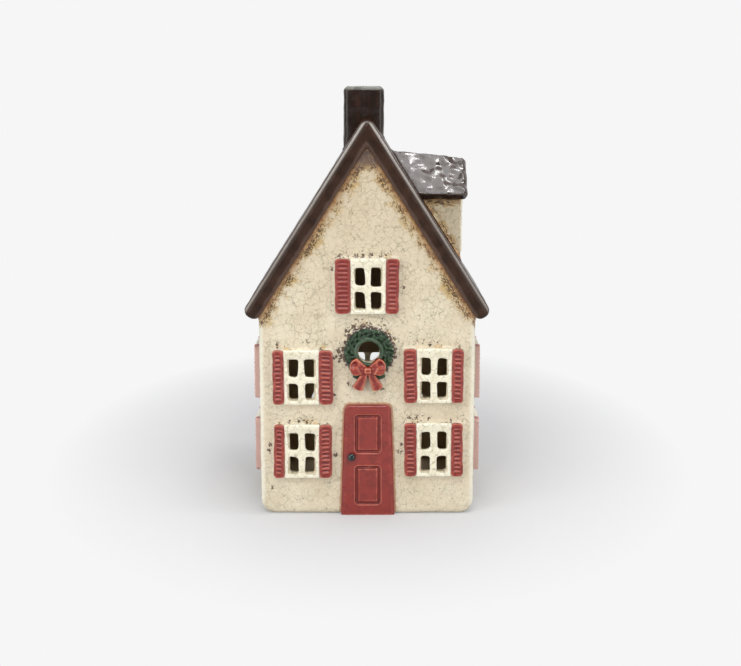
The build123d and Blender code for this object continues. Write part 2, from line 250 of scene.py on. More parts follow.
def fireClay(piece, grain, soften, lumps, lumpHeight):    # what each "clay" gives: even, rounded, lumpy
    applyModifier(piece, "REMESH", mode="VOXEL", voxel_size=grain, use_smooth_shade=True)
    applyModifier(piece, "SMOOTH", factor=0.5, iterations=soften)
    applyModifier(piece, "DISPLACE", texture=lumps, strength=lumpHeight, texture_coords="LOCAL")


# Camera

camera = {"place": (0.0015, -0.6188, 0.1855), "tilt": 79.9, "focal": 1330, "imageWidth": 741, "sensor": 36}


def makeCamera():
    startFresh()
    bpy.ops.object.camera_add(location=camera["place"], rotation=(math.radians(camera["tilt"]), 0, 0))
    made = bpy.context.object
    made.data.sensor_width = camera["sensor"]
    made.data.lens = camera["focal"] / camera["imageWidth"] * camera["sensor"]
    made.data.clip_start = 10 * mm
    bpy.context.scene.camera = made
    print("camera set, lens", round(made.data.lens, 2), "mm")


makeCamera()


# Node building

work = {"tree": None}    # the node tree in hand


def rgb(red, green, blue):    # a colour as the eye reads it, 0 to 255
    shares = [value / 255 for value in (red, green, blue)]
    return [s / 12.92 if s <= 0.04045 else ((s + 0.055) / 1.055) ** 2.4 for s in shares] + [1]


def setInput(node, key, value):    # a link from another node, or a plain value
    if isinstance(value, bpy.types.NodeSocket):
        work["tree"].links.new(value, node.inputs[key])
    else:
        node.inputs[key].default_value = value


def addNode(kind, values=None, **settings):
    made = work["tree"].nodes.new(kind)
    for key, value in settings.items():
        setattr(made, key, value)
    for key, value in (values or {}).items():
        setInput(made, key, value)
    return made


def objectPoint(stretch=(1, 1, 1)):
    coords = addNode("ShaderNodeTexCoord").outputs["Object"]
    return addNode("ShaderNodeMapping", {"Vector": coords, "Scale": stretch}).outputs["Vector"]


def partOf(point, name):
    return addNode("ShaderNodeSeparateXYZ", {"Vector": point}).outputs[name]


def field(name):    # a painted field of the piece
    return addNode("ShaderNodeAttribute", attribute_name=name).outputs["Fac"]


def noise(point, size, detail=2, rough=0.5, output="Fac"):    # size in millimetres
    values = {"Vector": point, "Scale": 1 / (size * mm), "Detail": detail, "Roughness": rough}
    return addNode("ShaderNodeTexNoise", values).outputs[output]


def warped(point, size, amount):    # the same point, pushed about by noise
    steps = (("SUBTRACT", 1, (0.5, 0.5, 0.5)), ("SCALE", "Scale", amount * mm), ("ADD", 1, point))
    push = noise(point, size, output="Color")
    for operation, key, value in steps:
        push = addNode("ShaderNodeVectorMath", {0: push, key: value}, operation=operation).outputs[0]
    return push


def between(value, low, high, outLow=0, outHigh=1):
    values = {"Value": value, "From Min": low, "From Max": high, "To Min": outLow, "To Max": outHigh}
    return addNode("ShaderNodeMapRange", values).outputs["Result"]


def chain(operation, first, *others):
    for other in others:
        first = addNode("ShaderNodeMath", {0: first, 1: other}, operation=operation).outputs[0]
    return first


def times(*values):
    return chain("MULTIPLY", *values)


def plus(*values):
    return chain("ADD", *values)


def most(*values):
    return chain("MAXIMUM", *values)


def uneven(value, cloud, amount, middle=0):    # the value, shaken by a cloud
    return plus(value, times(plus(cloud, -middle) if middle else cloud, amount))


def crackLines(point, size, thin, wide):    # 1 on a crack, 0 inside a cell
    cells = addNode("ShaderNodeTexVoronoi", {"Vector": point, "Scale": 1 / (size * mm)},
                    feature="DISTANCE_TO_EDGE")
    return between(cells.outputs["Distance"], thin, wide, 1, 0)


def mixed(share, first, second):
    return addNode("ShaderNodeMix", {0: share, 6: first, 7: second}, data_type="RGBA").outputs[2]


def laid(colour, tint, value, low, high, share=1):    # the tint covers the colour as the value rises
    return mixed(between(value, low, high, 0, share), colour, tint)


def startMaterial(name):
    material = bpy.data.materials.new(name)
    material.use_nodes = True
    work["tree"] = material.node_tree
    return material, objectPoint()


def finishMaterial(material, colour, rough, height, depth, constants={}):
    bump = addNode("ShaderNodeBump", {"Height": height, "Distance": depth * mm, "Strength": 1})
    sockets = {"Base Color": colour, "Roughness": rough, "Normal": bump.outputs["Normal"], **constants}
    for key, value in sockets.items():
        setInput(material.node_tree.nodes["Principled BSDF"], key, value)
    return material


# Glazes: sizes and bumps in millimetres

creamGlaze = {
    "cream": rgb(231, 220, 194), "sand": rgb(220, 206, 178), "cool": rgb(217, 211, 183),
    "high": rgb(206, 188, 158), "highRise": (95 * mm, 135 * mm), "edge": rgb(246, 242, 223),
    "crack": rgb(136, 117, 86), "crackRise": (30 * mm, 110 * mm), "cell": 3.6, "fineCell": 2.0,
    "speck": rgb(98, 78, 54), "ochre": rgb(205, 165, 96), "olive": rgb(178, 158, 98),
    "rust": rgb(178, 118, 74), "fleck": rgb(70, 42, 24), "bloom": rgb(114, 92, 83),
    "clay": rgb(172, 150, 114), "broad": 14, "patch": 5.5, "broken": 1.9, "bump": 0.16,
}


def rakePoint(squeeze):    # runs along the rakes, so that noise on it streaks with them
    point = objectPoint()
    side = addNode("ShaderNodeMath", {0: partOf(point, "X")}, operation="ABSOLUTE").outputs[0]
    along = plus(times(partOf(point, "Z"), 0.87), times(side, -0.5))
    parts = {"X": times(field("roofStain"), 11 * mm), "Y": times(along, squeeze), "Z": partOf(point, "Y")}
    return addNode("ShaderNodeCombineXYZ", parts).outputs["Vector"]


def makeCreamGlaze():
    glaze = creamGlaze
    material, point = startMaterial("creamCrackle")
    up, roofStain, inside, crumbs = partOf(point, "Z"), field("roofStain"), field("inside"), field("crumbs")
    broad, patch = noise(point, glaze["broad"], 3), noise(point, glaze["patch"], 3)
    broken = noise(point, glaze["broken"], 4, 0.65)
    colour = laid(glaze["sand"], glaze["cream"], broad, 0.35, 0.65)
    colour = laid(colour, glaze["cool"], patch, 0.5, 0.72, 0.6)
    colour = laid(colour, glaze["high"], up, *glaze["highRise"], 0.5)

    bent = warped(point, 2.2, 1.7)    # crackle, broken up and weaker towards the foot
    fine = crackLines(bent, glaze["fineCell"], 0.015, 0.1)
    cracks = most(crackLines(bent, glaze["cell"], 0.015, 0.065), times(fine, 0.5))
    cracks = times(cracks, between(broken, 0.36, 0.56, 0.15, 1), between(patch, 0.3, 0.65, 0.15, 0.72),
                   between(up, *glaze["crackRise"], 0.7, 1))
    colour = mixed(cracks, colour, glaze["crack"])
    specks = times(between(noise(point, 0.95, 2, 0.55), 0.66, 0.72), between(broken, 0.5, 0.58), 0.7)
    colour = mixed(specks, colour, glaze["speck"])
    # pale corner glaze, which also serves as a painted highlight where side light catches the wall's vertical
    # corners
    colour = laid(colour, glaze["edge"], uneven(field("corner"), broken, 0.4), 0.45, 1.0, 0.9)

    gate = between(noise(point, 7, 1), 0.46, 0.57)    # ochre and rust under the roof and round the trim
    roofSide = uneven(roofStain, patch, 1.3, 0.52)
    trimSide = times(plus(field("trimStain"), plus(patch, -0.5)), gate)
    ochre = between(uneven(most(roofSide, times(trimSide, 0.75)), broken, 0.6), 0.76, 1.1)
    colour = mixed(times(ochre, 0.72), colour, glaze["ochre"])
    colour = mixed(times(ochre, between(broad, 0.45, 0.7, 0, 0.5)), colour, glaze["olive"])
    rust = uneven(plus(roofStain, times(field("doorRust"), 1.26)), broken, 0.6)
    colour = laid(colour, glaze["rust"], rust, 1.08, 1.3, 0.75)

    strip = times(between(roofStain, 0.5, 0.72), between(roofStain, 0.98, 0.84, 0.35, 1),
                  between(uneven(patch, broken, 0.5), 0.6, 0.78))    # dark flecks along the rakes
    streaks = noise(rakePoint(0.55), 0.6, 3, 0.6)
    flecks = times(between(uneven(streaks, strip, 0.1), 0.54, 0.6), strip)
    clumps = times(between(noise(point, 1.5, 3, 0.6), 0.54, 0.59), between(trimSide, 0.2, 0.5))
    spots = between(uneven(crumbs, noise(point, 1.0, 2, 0.6), 4.0, 0.5), 0.55, 0.75)
    flecks = most(flecks, clumps, times(spots, times(crumbs, 1.6)))
    colour = laid(colour, glaze["fleck"], flecks, 0, 1, 0.9)
    colour = laid(colour, glaze["bloom"], uneven(field("roofBloom"), broken, 1.2), 1.05, 1.7)
    colour = mixed(inside, colour, glaze["clay"])

    height = plus(times(cracks, -0.3), noise(point, 2.2, 3))
    rough = plus(times(inside, 0.4), between(patch, 0.3, 0.7, 0.2, 0.34))
    return finishMaterial(material, colour, rough, height, glaze["bump"], {"Specular IOR Level": 0.5})


# grey: raised edges, thin glaze and a painted highlight; peak: the painted highlight made lighter near the
# top
brownGlaze = {"dark": rgb(45, 28, 18), "warm": rgb(60, 40, 29), "thin": rgb(88, 68, 58),
              "rust": rgb(124, 88, 60), "grey": rgb(184, 176, 168), "peak": rgb(228, 222, 214)}
roofBrown = {"name": "brownRoofGlaze", "lump": 7.0, "lumpDepth": 0.4, "ripple": 0.03, "gloss": 0.27,
             "shine": 0.2, "paler": (132 * mm, 172 * mm)}
dormerBrown = {"name": "brownDormerGlaze", "lump": 4.6, "lumpDepth": 0.75, "ripple": 0.001, "gloss": 0.1,
               "shine": 1.0, "calm": (24 * mm, 36 * mm)}


def makeBrownGlaze(kind):    # a painted highlight on the rakes' raised edges, lighter over the given rise; calm: the lumps grow across this stretch
    material, point = startMaterial(kind["name"])
    pooled = noise(point, 5, 4)
    colour = laid(brownGlaze["dark"], brownGlaze["warm"], pooled, 0.35, 0.65)
    # grey on raised edges: thin glaze and a painted highlight, lighter again near the roof's peak
    grey = brownGlaze["grey"]
    if "paler" in kind:
        grey = laid(grey, brownGlaze["peak"], partOf(point, "Z"), *kind["paler"])
    colour = laid(colour, grey, field("wearAndSheen"), 0.64, 0.96, 0.95)
    low = uneven(field("lowEdge"), pooled, 0.5, 0.5)
    colour = laid(colour, brownGlaze["thin"], low, 0.52, 0.76)
    colour = laid(colour, brownGlaze["rust"], low, 0.94, 1.1)
    lumps = noise(warped(point, 6, 2), kind["lump"], 0)
    if "calm" in kind:
        lumps = times(plus(lumps, -0.5), between(partOf(point, "X"), *kind["calm"], 0.3, 1.4))
    height = uneven(lumps, noise(point, 0.9, 2), kind["ripple"])
    rough = between(noise(point, 2.4, 2), 0.3, 0.7, kind["gloss"], kind["gloss"] + 0.1)
    return finishMaterial(material, colour, rough, height, kind["lumpDepth"],
                          {"Specular IOR Level": kind["shine"]})


chimneyGlaze = {"dark": rgb(30, 17, 9), "red": rgb(72, 34, 22), "grey": rgb(84, 74, 66),
                "lip": rgb(146, 148, 140), "lipRise": (188 * mm, 189.2 * mm)}


def makeChimneyGlaze():
    glaze = chimneyGlaze
    material, point = startMaterial("chimneyGlaze")
    runs = noise(objectPoint((1, 1, 0.07)), 2.4, 2, 0.5)
    patch = noise(point, 5, 2)
    streak = times(between(runs, 0.46, 0.78), between(patch, 0.4, 0.65, 0.1, 0.6))
    # grey on raised edges: thin glaze, and a painted highlight too
    worn = times(between(field("wearAndSheen"), 0.58, 0.9, 0, 0.6), between(patch, 0.3, 0.6, 0.4, 1))
    lip = times(between(partOf(point, "Z"), *glaze["lipRise"], 0, 0.65), between(patch, 0.35, 0.55, 0.3, 1))
    colour = glaze["dark"]
    for share, tint in ((streak, "red"), (worn, "grey"), (lip, "lip")):
        colour = mixed(share, colour, glaze[tint])
    rough = between(patch, 0.3, 0.7, 0.2, 0.3)
    return finishMaterial(material, colour, rough, uneven(noise(point, 6, 1), runs, 0.2), 0.2,
                          {"Specular IOR Level": 0.35})


paintedGlazes = {
    "frame_glaze": {
        "name": "framePaleGlaze", "base": rgb(243, 237, 212), "ridge": rgb(252, 249, 232),
        "groove": rgb(216, 206, 173), "mottle": rgb(231, 223, 194), "crack": rgb(178, 162, 130),
        "pit": 1.6, "gloss": 0.24, "bump": 0.08},
    "shutter_glaze": {
        "name": "brickRedGlaze", "base": rgb(130, 35, 25), "ridge": rgb(194, 102, 84),
        "groove": rgb(104, 23, 18), "mottle": rgb(156, 44, 26), "pale": rgb(230, 200, 190),
        "high": rgb(128, 12, 4), "highRise": (90 * mm, 100 * mm), "pit": 1.2, "gloss": 0.3, "bump": 0.06},
    "door_glaze": {
        "name": "doorRoseGlaze", "base": rgb(138, 44, 36), "ridge": rgb(192, 106, 86),
        "groove": rgb(104, 30, 24), "mottle": rgb(156, 47, 34), "pit": 1.8, "gloss": 0.26, "bump": 0.04},
    "knob_glaze": {
        "name": "blueBlackGlaze", "base": rgb(20, 30, 32), "ridge": rgb(58, 74, 78),
        "groove": rgb(8, 12, 14), "mottle": rgb(26, 40, 42), "pit": 0.8, "gloss": 0.1, "bump": 0.04},
    "wreath_glaze": {
        "name": "leafGreenGlaze", "base": rgb(14, 48, 15), "ridge": rgb(50, 88, 40), "groove": rgb(6, 20, 7),
        "mottle": rgb(26, 60, 22), "rim": rgb(72, 92, 70), "outer": rgb(84, 58, 42),
        "glints": rgb(226, 222, 208), "pit": 0.9, "gloss": 0.3, "bump": 0.08},
    "bow_glaze": {
        "name": "bowPinkGlaze", "base": rgb(145, 43, 28), "ridge": rgb(222, 136, 104),
        # hollow: the colour of painted shade in the loops and tails
        "groove": rgb(102, 14, 10), "mottle": rgb(160, 50, 32), "hollow": rgb(126, 20, 16),
        "pit": 0.9, "gloss": 0.2, "bump": 0.05},
}


def makePaintedGlaze(glaze):
    material, point = startMaterial(glaze["name"])
    blotches = noise(point, 2.4, 4, 0.6)
    colour = laid(glaze["base"], glaze["mottle"], blotches, 0.48, 0.68, 0.6)
    colour = laid(colour, glaze["groove"], noise(point, 4.5, 2), 0.5, 0.64, 0.4)
    # ridges lighter and grooves darker: thin and pooled glaze, with the light ridges also a painted highlight
    wearAndSheen = uneven(field("wearAndSheen"), blotches, 0.45, 0.5)
    colour = laid(colour, glaze["groove"], wearAndSheen, 0.46, 0.1, 0.9)
    colour = laid(colour, glaze["ridge"], wearAndSheen, 0.56, 0.95, 0.9)
    if "crack" in glaze:
        lines = crackLines(warped(point, 2.2, 1.7), 3.2, 0.015, 0.07)
        colour = mixed(times(lines, between(blotches, 0.4, 0.6, 0, 0.7)), colour, glaze["crack"])
    if "high" in glaze:    # the top window's shutters, above this rise, are turned a deeper red
        colour = laid(colour, glaze["high"], partOf(point, "Z"), *glaze["highRise"], 0.4)
    # pale tints the side shutters' edges; hollow lays painted shade in the bow's hollows
    for name, share in (("pale", 0.65), ("hollow", 0.85)):
        if name in glaze:
            colour = mixed(times(field(name), share), colour, glaze[name])
    if "rim" in glaze:
        colour = mixed(times(field("rim"), between(blotches, 0.4, 0.58, 0.25, 0.9)), colour, glaze["rim"])
        outer = field("outer")
        colour = laid(colour, glaze["outer"], uneven(outer, blotches, 0.6), 0.75, 0.95)
        # painted glints: white highlights along the wreath's outer edge
        colour = mixed(times(outer, between(noise(point, 1.1, 2), 0.58, 0.64)), colour, glaze["glints"])
    height = uneven(noise(point, glaze["pit"], 3), noise(point, 0.5, 2), 0.2)
    rough = between(blotches, 0.3, 0.7, glaze["gloss"], glaze["gloss"] + 0.12)
    return finishMaterial(material, colour, rough, height, glaze["bump"],
                          {"Coat Weight": 0.22, "Coat Roughness": 0.1})


finishes = {"wall_glaze": makeCreamGlaze(), "roof_glaze": makeBrownGlaze(roofBrown),
            "chimney_glaze": makeChimneyGlaze()}
finishes.update({slot: makePaintedGlaze(glaze) for slot, glaze in paintedGlazes.items()})
dormerGlaze = makeBrownGlaze(dormerBrown)
print("glazes mixed:", len(finishes) + 1)


def dress(piece, slot, body, *nodes):
    movePoints(piece, np.clip(readPoints(piece), *cadBox))    # lumps stay inside the frame's box
    piece.data.materials.clear()
    piece.data.materials.append(finishes[slot])
    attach(piece, body)
    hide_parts(*nodes)


def cutApart(whole, slot, cuts, material=None):    # worked as one, and now a piece for each node
    for node, planes in cuts.items():
        piece = cutFrom(whole, "clay_" + node, planes)
        dress(piece, slot, "house", node)
        if material:
            piece.data.materials[0] = material
        print("  ", piece.name, len(piece.data.polygons), "faces")
    bpy.data.objects.remove(whole)


# Which nodes stand where

frontWindows = ["top", "upper_left", "upper_right", "lower_left", "lower_right"]
sideWindows = [f"{side}_{storey}_{end}" for side in ("left", "right") for storey in ("upper", "lower")
               for end in ("front", "back")]
trim = [f"{name}_window_frame" for name in frontWindows]
trim += [f"{name}_{side}_shutter" for name in frontWindows for side in ("left", "right")]
trim += [f"{name}_window_frame" for name in sideWindows] + [f"{name}_shutters" for name in sideWindows]
trim += ["back_window_frame", "wreath", "bow"]
roofSlabs = ["left_roof_slab", "right_roof_slab"]
dormerSlopes = ["dormer_front_slope", "dormer_back_slope"]
dormerWalls = ["dormer_gable", "dormer_front_cheek", "dormer_back_cheek"]
facings = {"front": 0, "left": -90, "right": 90, "back": 180, "dormer": 90}


# The body's five slabs, with clay drawn up to what sits on them
# A fillet gives how far its stain reaches, and then its height and width

bodyClay = {"clay": (0.66 * mm, 5, handLumps, 0.4 * mm), "roofFillet": (11 * mm, 1.1 * mm, 2.2 * mm),
            "trimFillet": (5.5 * mm, 1.0 * mm, 1.5 * mm), "doorFillet": (2.6 * mm, 0.4 * mm, 1.5 * mm),
            "cornerReach": 3.2 * mm, "bloomDrop": 17 * mm, "bloomLength": 9 * mm, "crumbReach": 1.3,
            "skin": 0.6 * mm, "seam": 0.8 * mm}

crumbSpots = [    # clusters of dark crumbs on the front: across, up and reach in millimetres
    (-6.0, 85.5, 1.6), (-8.6, 83.9, 1.6), (-2.7, 85.9, 1.3), (1.3, 86.4, 1.2), (9.2, 83.4, 1.0),
    (12.8, 75.8, 0.9), (-9.4, 82.2, 1.1), (5.6, 85.7, 1.3), (11.4, 80.4, 1.0), (12.9, 71.8, 0.9),
    (-11.9, 78.6, 0.8), (-12.6, 74.8, 1.8), (-11.2, 72.6, 1.5), (-12.0, 70.5, 1.6), (-14.1, 72.0, 1.4),
    (-34.7, 42.3, 1.3), (-27.4, 42.5, 1.7), (-30.5, 42.9, 1.2), (20.5, 42.3, 1.2), (24.3, 42.0, 1.4),
    (27.3, 44.0, 1.1), (22.1, 44.5, 1.1), (-43.5, 32.0, 1.4), (-43.8, 29.5, 1.2), (-14.0, 27.4, 1.3),
    (15.3, 32.1, 1.2), (14.7, 28.7, 1.4), (27.7, 77.3, 1.1), (-5.9, 58.9, 1.0), (-8.2, 60.0, 1.2),
    (6.4, 57.8, 1.3), (-14.9, 54.8, 1.3), (-42.6, 12.3, 1.1), (42.9, 28.7, 1.0), (37.3, 43.1, 1.1),
    (-4.8, 116.9, 1.2), (-1.9, 116.9, 1.1), (1.7, 117.2, 1.5), (6.1, 117.0, 1.5), (13.3, 114.0, 1.3),
    (-12.0, 116.8, 1.4), (-4.8, 89.3, 1.0), (6.8, 89.5, 0.8), (-15.2, 111.1, 1.2), (15.6, 103.1, 1.3)]


def insideShare(points):    # 1 on the chamber's own faces
    x, y, z = points.T
    skin = bodyClay["skin"]
    across = np.abs(x) < abs(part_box("left_wall")[1].x) + skin
    along = (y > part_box("front_wall")[1].y - skin) & (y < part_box("back_wall")[0].y + skin)
    return (across & along & (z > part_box("floor_slab")[1].z - skin)).astype(float)


def makeBody():
    shell = copyOfNodes("bodyShell", ["front_wall", "back_wall", "left_wall", "right_wall", "floor_slab"])
    fireClay(shell, *bodyClay["clay"])
    roofNear = closenessTo(shell, roofSlabs, bodyClay["roofFillet"][0])[0]
    trimNear, trimShare = closenessTo(shell, trim, bodyClay["trimFillet"][0])
    doorNear = closenessTo(shell, ["door"], bodyClay["doorFillet"][0])[0]
    points = readPoints(shell)
    across, along, up = points.T
    inside = insideShare(points)
    drawUp(shell, roofNear, *bodyClay["roofFillet"])
    drawUp(shell, trimNear * (1 - inside), *bodyClay["trimFillet"])
    drawUp(shell, doorNear * (1 - inside), *bodyClay["doorFillet"])

    front, back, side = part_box("front_wall")[1].y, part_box("back_wall")[0].y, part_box("right_wall")[0].x
    fromCorner = np.maximum(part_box("right_wall")[1].x - np.abs(across),
                            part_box("back_wall")[1].y - np.abs(along))
    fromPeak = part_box("left_roof_slab")[1].z - bodyClay["bloomDrop"] - up
    crumbs = np.zeros(len(points))
    for x, z, size in crumbSpots:
        away = np.hypot(across - x * mm, up - z * mm) / (size * mm)
        crumbs = np.maximum(crumbs, np.clip(bodyClay["crumbReach"] - away, 0, 1) * (along < front))
    fields = {"roofStain": roofNear, "trimStain": trimNear * trimShare, "doorRust": doorNear,
              # corner: where the pale glaze and the painted highlight lie
              "corner": np.clip(1 - fromCorner / bodyClay["cornerReach"], 0, 1),
              "roofBloom": np.clip(1 - fromPeak / bodyClay["bloomLength"], 0, 1), "inside": inside,
              "crumbs": crumbs}
    for name, values in fields.items():
        paint(shell, name, values)

    front, back, side = front + bodyClay["seam"], back - bodyClay["seam"], side - bodyClay["seam"]
    middle = [("y", front, -1), ("y", back, 1)]
    cutApart(shell, "wall_glaze", {
        "front_wall": [("y", front, 1)],
        "back_wall": [("y", back, -1)],
        "left_wall": middle + [("x", -side, 1)],
        "right_wall": middle + [("x", side, -1)],
        "floor_slab": middle + [("x", side, 1), ("x", -side, -1)]})


makeBody()
print("body walls done")


# Roof slabs, with their drips, and what stands on them

roofClay = {"clay": (0.8 * mm, 3, handLumps, 0.5 * mm), "fillet": (3 * mm, 0.7 * mm, 1.4 * mm),
            "rakeTop": 0.5 * mm, "rakeReach": 2.6 * mm, "rakeDrop": 1.3 * mm, "rakeEnd": (4 * mm, 3 * mm),
            "wornTop": 0.2 * mm, "wornReach": 2.2 * mm, "wornEnd": (2.6 * mm, mm), "lowReach": 4.2 * mm}


def overWalls(points):    # how far a point stands over the slabs' under face
    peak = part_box("front_wall")[1].z
    pitch = math.atan2(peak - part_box("right_wall")[1].z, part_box("right_wall")[0].x)
    return (points[:, 2] - (peak - np.abs(points[:, 0]) * math.tan(pitch))) * math.cos(pitch)


def towardsRakes(points, start, fade):    # 0 up to the start before the rakes, then rising to 1
    return np.clip((np.abs(points[:, 1]) - abs(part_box("right_roof_slab")[0].y) + start) / fade, 0, 1)


def makeRoof():
    roof = copyOfNodes("roofSlabs", roofSlabs)
    fireClay(roof, *roofClay["clay"])
    points = readPoints(roof)    # the rakes' upper edges are rounded off
    rise = overWalls(points)
    fromTop = np.clip(1 - (rise.max() - roofClay["rakeTop"] - rise) / roofClay["rakeReach"], 0, 1)
    ends = towardsRakes(points, *roofClay["rakeEnd"])
    points[:, 1] -= np.sign(points[:, 1]) * roofClay["rakeDrop"] * fromTop ** 1.5 * ends
    movePoints(roof, points)
    near = closenessTo(roof, ["chimney"] + dormerSlopes + dormerWalls, roofClay["fillet"][0])[0]
    drawUp(roof, near, *roofClay["fillet"])
    points = readPoints(roof)
    rise = overWalls(points)
    # the band under the rakes' top edge that takes the painted highlight
    below = np.percentile(rise, 80) - roofClay["wornTop"] - rise
    fromTop = np.clip(1 - below / roofClay["wornReach"], 0, 1)
    ends = towardsRakes(points, *roofClay["wornEnd"])
    paint(roof, "wearAndSheen", 0.5 + 0.5 * fromTop * ends)    # painted highlight: the rakes' upper edge turned light grey, as if it caught the light
    paint(roof, "lowEdge", np.clip(1 - rise / roofClay["lowReach"], 0, 1))
    cutApart(roof, "roof_glaze", {"left_roof_slab": [("x", 0, 1)], "right_roof_slab": [("x", 0, -1)]})


dormerClay = {"slopeClay": (0.5 * mm, 12, dormerLumps, 0.9 * mm), "slopeWearAndSheen": (8, 0.9 * mm, 0.3),
              "wallClay": (0.5 * mm, 5, handLumps, 0.3 * mm), "fillet": (7 * mm, 0.7 * mm, 1.4 * mm),
              "trimReach": 2.5 * mm, "seam": 0.6 * mm}


def makeDormer():
    slopes = copyOfNodes("dormerRoof", dormerSlopes)
    fireClay(slopes, *dormerClay["slopeClay"])
    paintWearAndSheen(slopes, *dormerClay["slopeWearAndSheen"])
    paint(slopes, "lowEdge", 0)
    halves = {"dormer_front_slope": [("y", 0, 1)], "dormer_back_slope": [("y", 0, -1)]}
    cutApart(slopes, "roof_glaze", halves, dormerGlaze)

    walls = copyOfNodes("dormerWalls", dormerWalls)
    fireClay(walls, *dormerClay["wallClay"])
    roofNear = closenessTo(walls, roofSlabs + dormerSlopes, dormerClay["fillet"][0])[0]
    trimNear, trimShare = closenessTo(walls, ["dormer_window_frame"], dormerClay["trimReach"])
    drawUp(walls, roofNear, *dormerClay["fillet"])
    paint(walls, "roofStain", roofNear)
    paint(walls, "trimStain", trimNear * trimShare)
    for name in ("doorRust", "roofBloom", "inside", "corner", "crumbs"):
        paint(walls, name, 0)
    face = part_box("dormer_gable")[0].x - dormerClay["seam"]
    cutApart(walls, "wall_glaze", {
        "dormer_gable": [("x", face, -1)],
        "dormer_front_cheek": [("x", face, 1), ("y", 0, 1)],
        "dormer_back_cheek": [("x", face, 1), ("y", 0, -1)]})


chimneyStack = {"clay": (0.5 * mm, 13, handLumps, 0.8 * mm), "wearAndSheen": (8, 0.4 * mm)}


def makeChimney():
    stack = copyOfNodes("clay_chimney", ["chimney"])
    fireClay(stack, *chimneyStack["clay"])
    paintWearAndSheen(stack, *chimneyStack["wearAndSheen"])
    dress(stack, "chimney_glaze", "house", "chimney")


makeRoof()
makeDormer()
makeChimney()
print("roof, dormer and chimney done")


# Plates that are cut to a grid of lines: frames, shutters and the door

def wobble(amount):
    return random.uniform(-amount, amount)


def spread(start, lengths):
    places = [start]
    for length in lengths:
        places.append(places[-1] + length)
    return places


def gridPlate(name, columns, rows, back):    # stands on the plane y = back, and faces -Y
    startFresh()
    across, up = len(columns) - 1, len(rows) - 1
    bpy.ops.mesh.primitive_grid_add(x_subdivisions=across, y_subdivisions=up, size=1)
    plate = bpy.context.object
    plate.name = name
    for point in plate.data.vertices:
        column = round((point.co.x + 0.5) * across)
        row = round((point.co.y + 0.5) * up)
        point.co = (columns[column], back, rows[row])
    return plate


def thicken(plate, front, back):
    openMesh(plate)
    bpy.ops.mesh.extrude_region_move(TRANSFORM_OT_translate={"value": (0, front - back, 0)})
    objectMode()
    mergePoints(plate)


def standOn(piece, node, facing, along=0.0):    # from its own place to the wall that carries the node
    low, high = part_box(node)
    middle = (low + high) / 2
    spots = {"front": (middle.x + along, high.y), "back": (middle.x - along, low.y),
             "left": (high.x, middle.y + along)}
    piece.rotation_euler = (0, 0, math.radians(facings[facing]))
    moveTo(piece, (*spots.get(facing, (low.x, middle.y + along)), middle.z))


windowFrame = {"stile": 1.8 * mm, "head": 4.1 * mm, "sill": 1.6 * mm, "bar": 2.6 * mm, "paneCorner": 1.2 * mm,
               "sink": 0.6 * mm, "wobble": 0.38 * mm, "rim": 1.1 * mm, "lean": 0.7 * mm, "headStart": 0.8,
               "headFade": 0.15, "clay": (0.38 * mm, 6, toolLumps, 0.3 * mm), "wearAndSheen": (6, 0.25 * mm)}


def makeFrame(node, facing, panesUp=2, head=windowFrame["head"], corner=windowFrame["paneCorner"]):
    low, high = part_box(node)
    size = high - low
    width, depth = (size.x, size.y) if facing in ("front", "back") else (size.y, size.x)
    stile, sill, bar, sink = (windowFrame[name] for name in ("stile", "sill", "bar", "sink"))
    pane = (width - 2 * stile - bar) / 2
    paneUp = (size.z - head - sill - (panesUp - 1) * bar) / panesUp
    columns = spread(-width / 2, [stile, pane, bar, pane, stile])
    rows = spread(-size.z / 2, [sill] + [paneUp, bar] * (panesUp - 1) + [paneUp, head])
    panes = [(c, r) for c in (1, 3) for r in range(1, 2 * panesUp, 2)]

    def isInner(spot):
        return abs(spot.x) < width / 2 - hair and abs(spot.z) < size.z / 2 - hair

    plate = gridPlate("clay_" + node, columns, rows, sink)
    pickParts(plate, "FACE", lambda spot, normal: any(
        columns[c] < spot.x < columns[c + 1] and rows[r] < spot.z < rows[r + 1] for c, r in panes))
    bpy.ops.mesh.delete(type="FACE")
    objectMode()
    thicken(plate, -depth, sink)
    shifts = {}
    for point in plate.data.vertices:
        if isInner(point.co):
            key = (round(point.co.x / mm, 2), round(point.co.z / mm, 2))
            if key not in shifts:
                shifts[key] = (wobble(windowFrame["wobble"]), wobble(windowFrame["wobble"]))
            point.co.x += shifts[key][0]
            point.co.z += shifts[key][1]
    pickParts(plate, "EDGE", lambda first, second: abs(first.y - second.y) > depth / 2 and isInner(first))
    bpy.ops.mesh.bevel(offset=corner, segments=3, affect="EDGES")
    objectMode()
    applyModifier(plate, "BEVEL", width=windowFrame["rim"], segments=2, limit_method="ANGLE",
                  angle_limit=math.radians(60))
    fireClay(plate, *windowFrame["clay"])
    points = readPoints(plate)    # the head stands proud, the sides and the sill lie lower
    rise = np.clip((points[:, 2] / size.z + 0.5 - windowFrame["headStart"]) / windowFrame["headFade"], 0, 1)
    face = np.clip(-points[:, 1] / depth, 0, 1)
    points[:, 1] += face * (1 - rise) * min(windowFrame["lean"], depth / 4)
    movePoints(plate, points)
    paintWearAndSheen(plate, *windowFrame["wearAndSheen"])
    standOn(plate, node, facing)
    dress(plate, "frame_glaze", "house", node)


for window in frontWindows:
    makeFrame(f"{window}_window_frame", "front")
for window in sideWindows:
    makeFrame(f"{window}_window_frame", window.split("_")[0])
makeFrame("dormer_window_frame", "dormer")
makeFrame("back_window_frame", "back", 1, 3.0 * mm, 2.4 * mm)
print("window frames done")


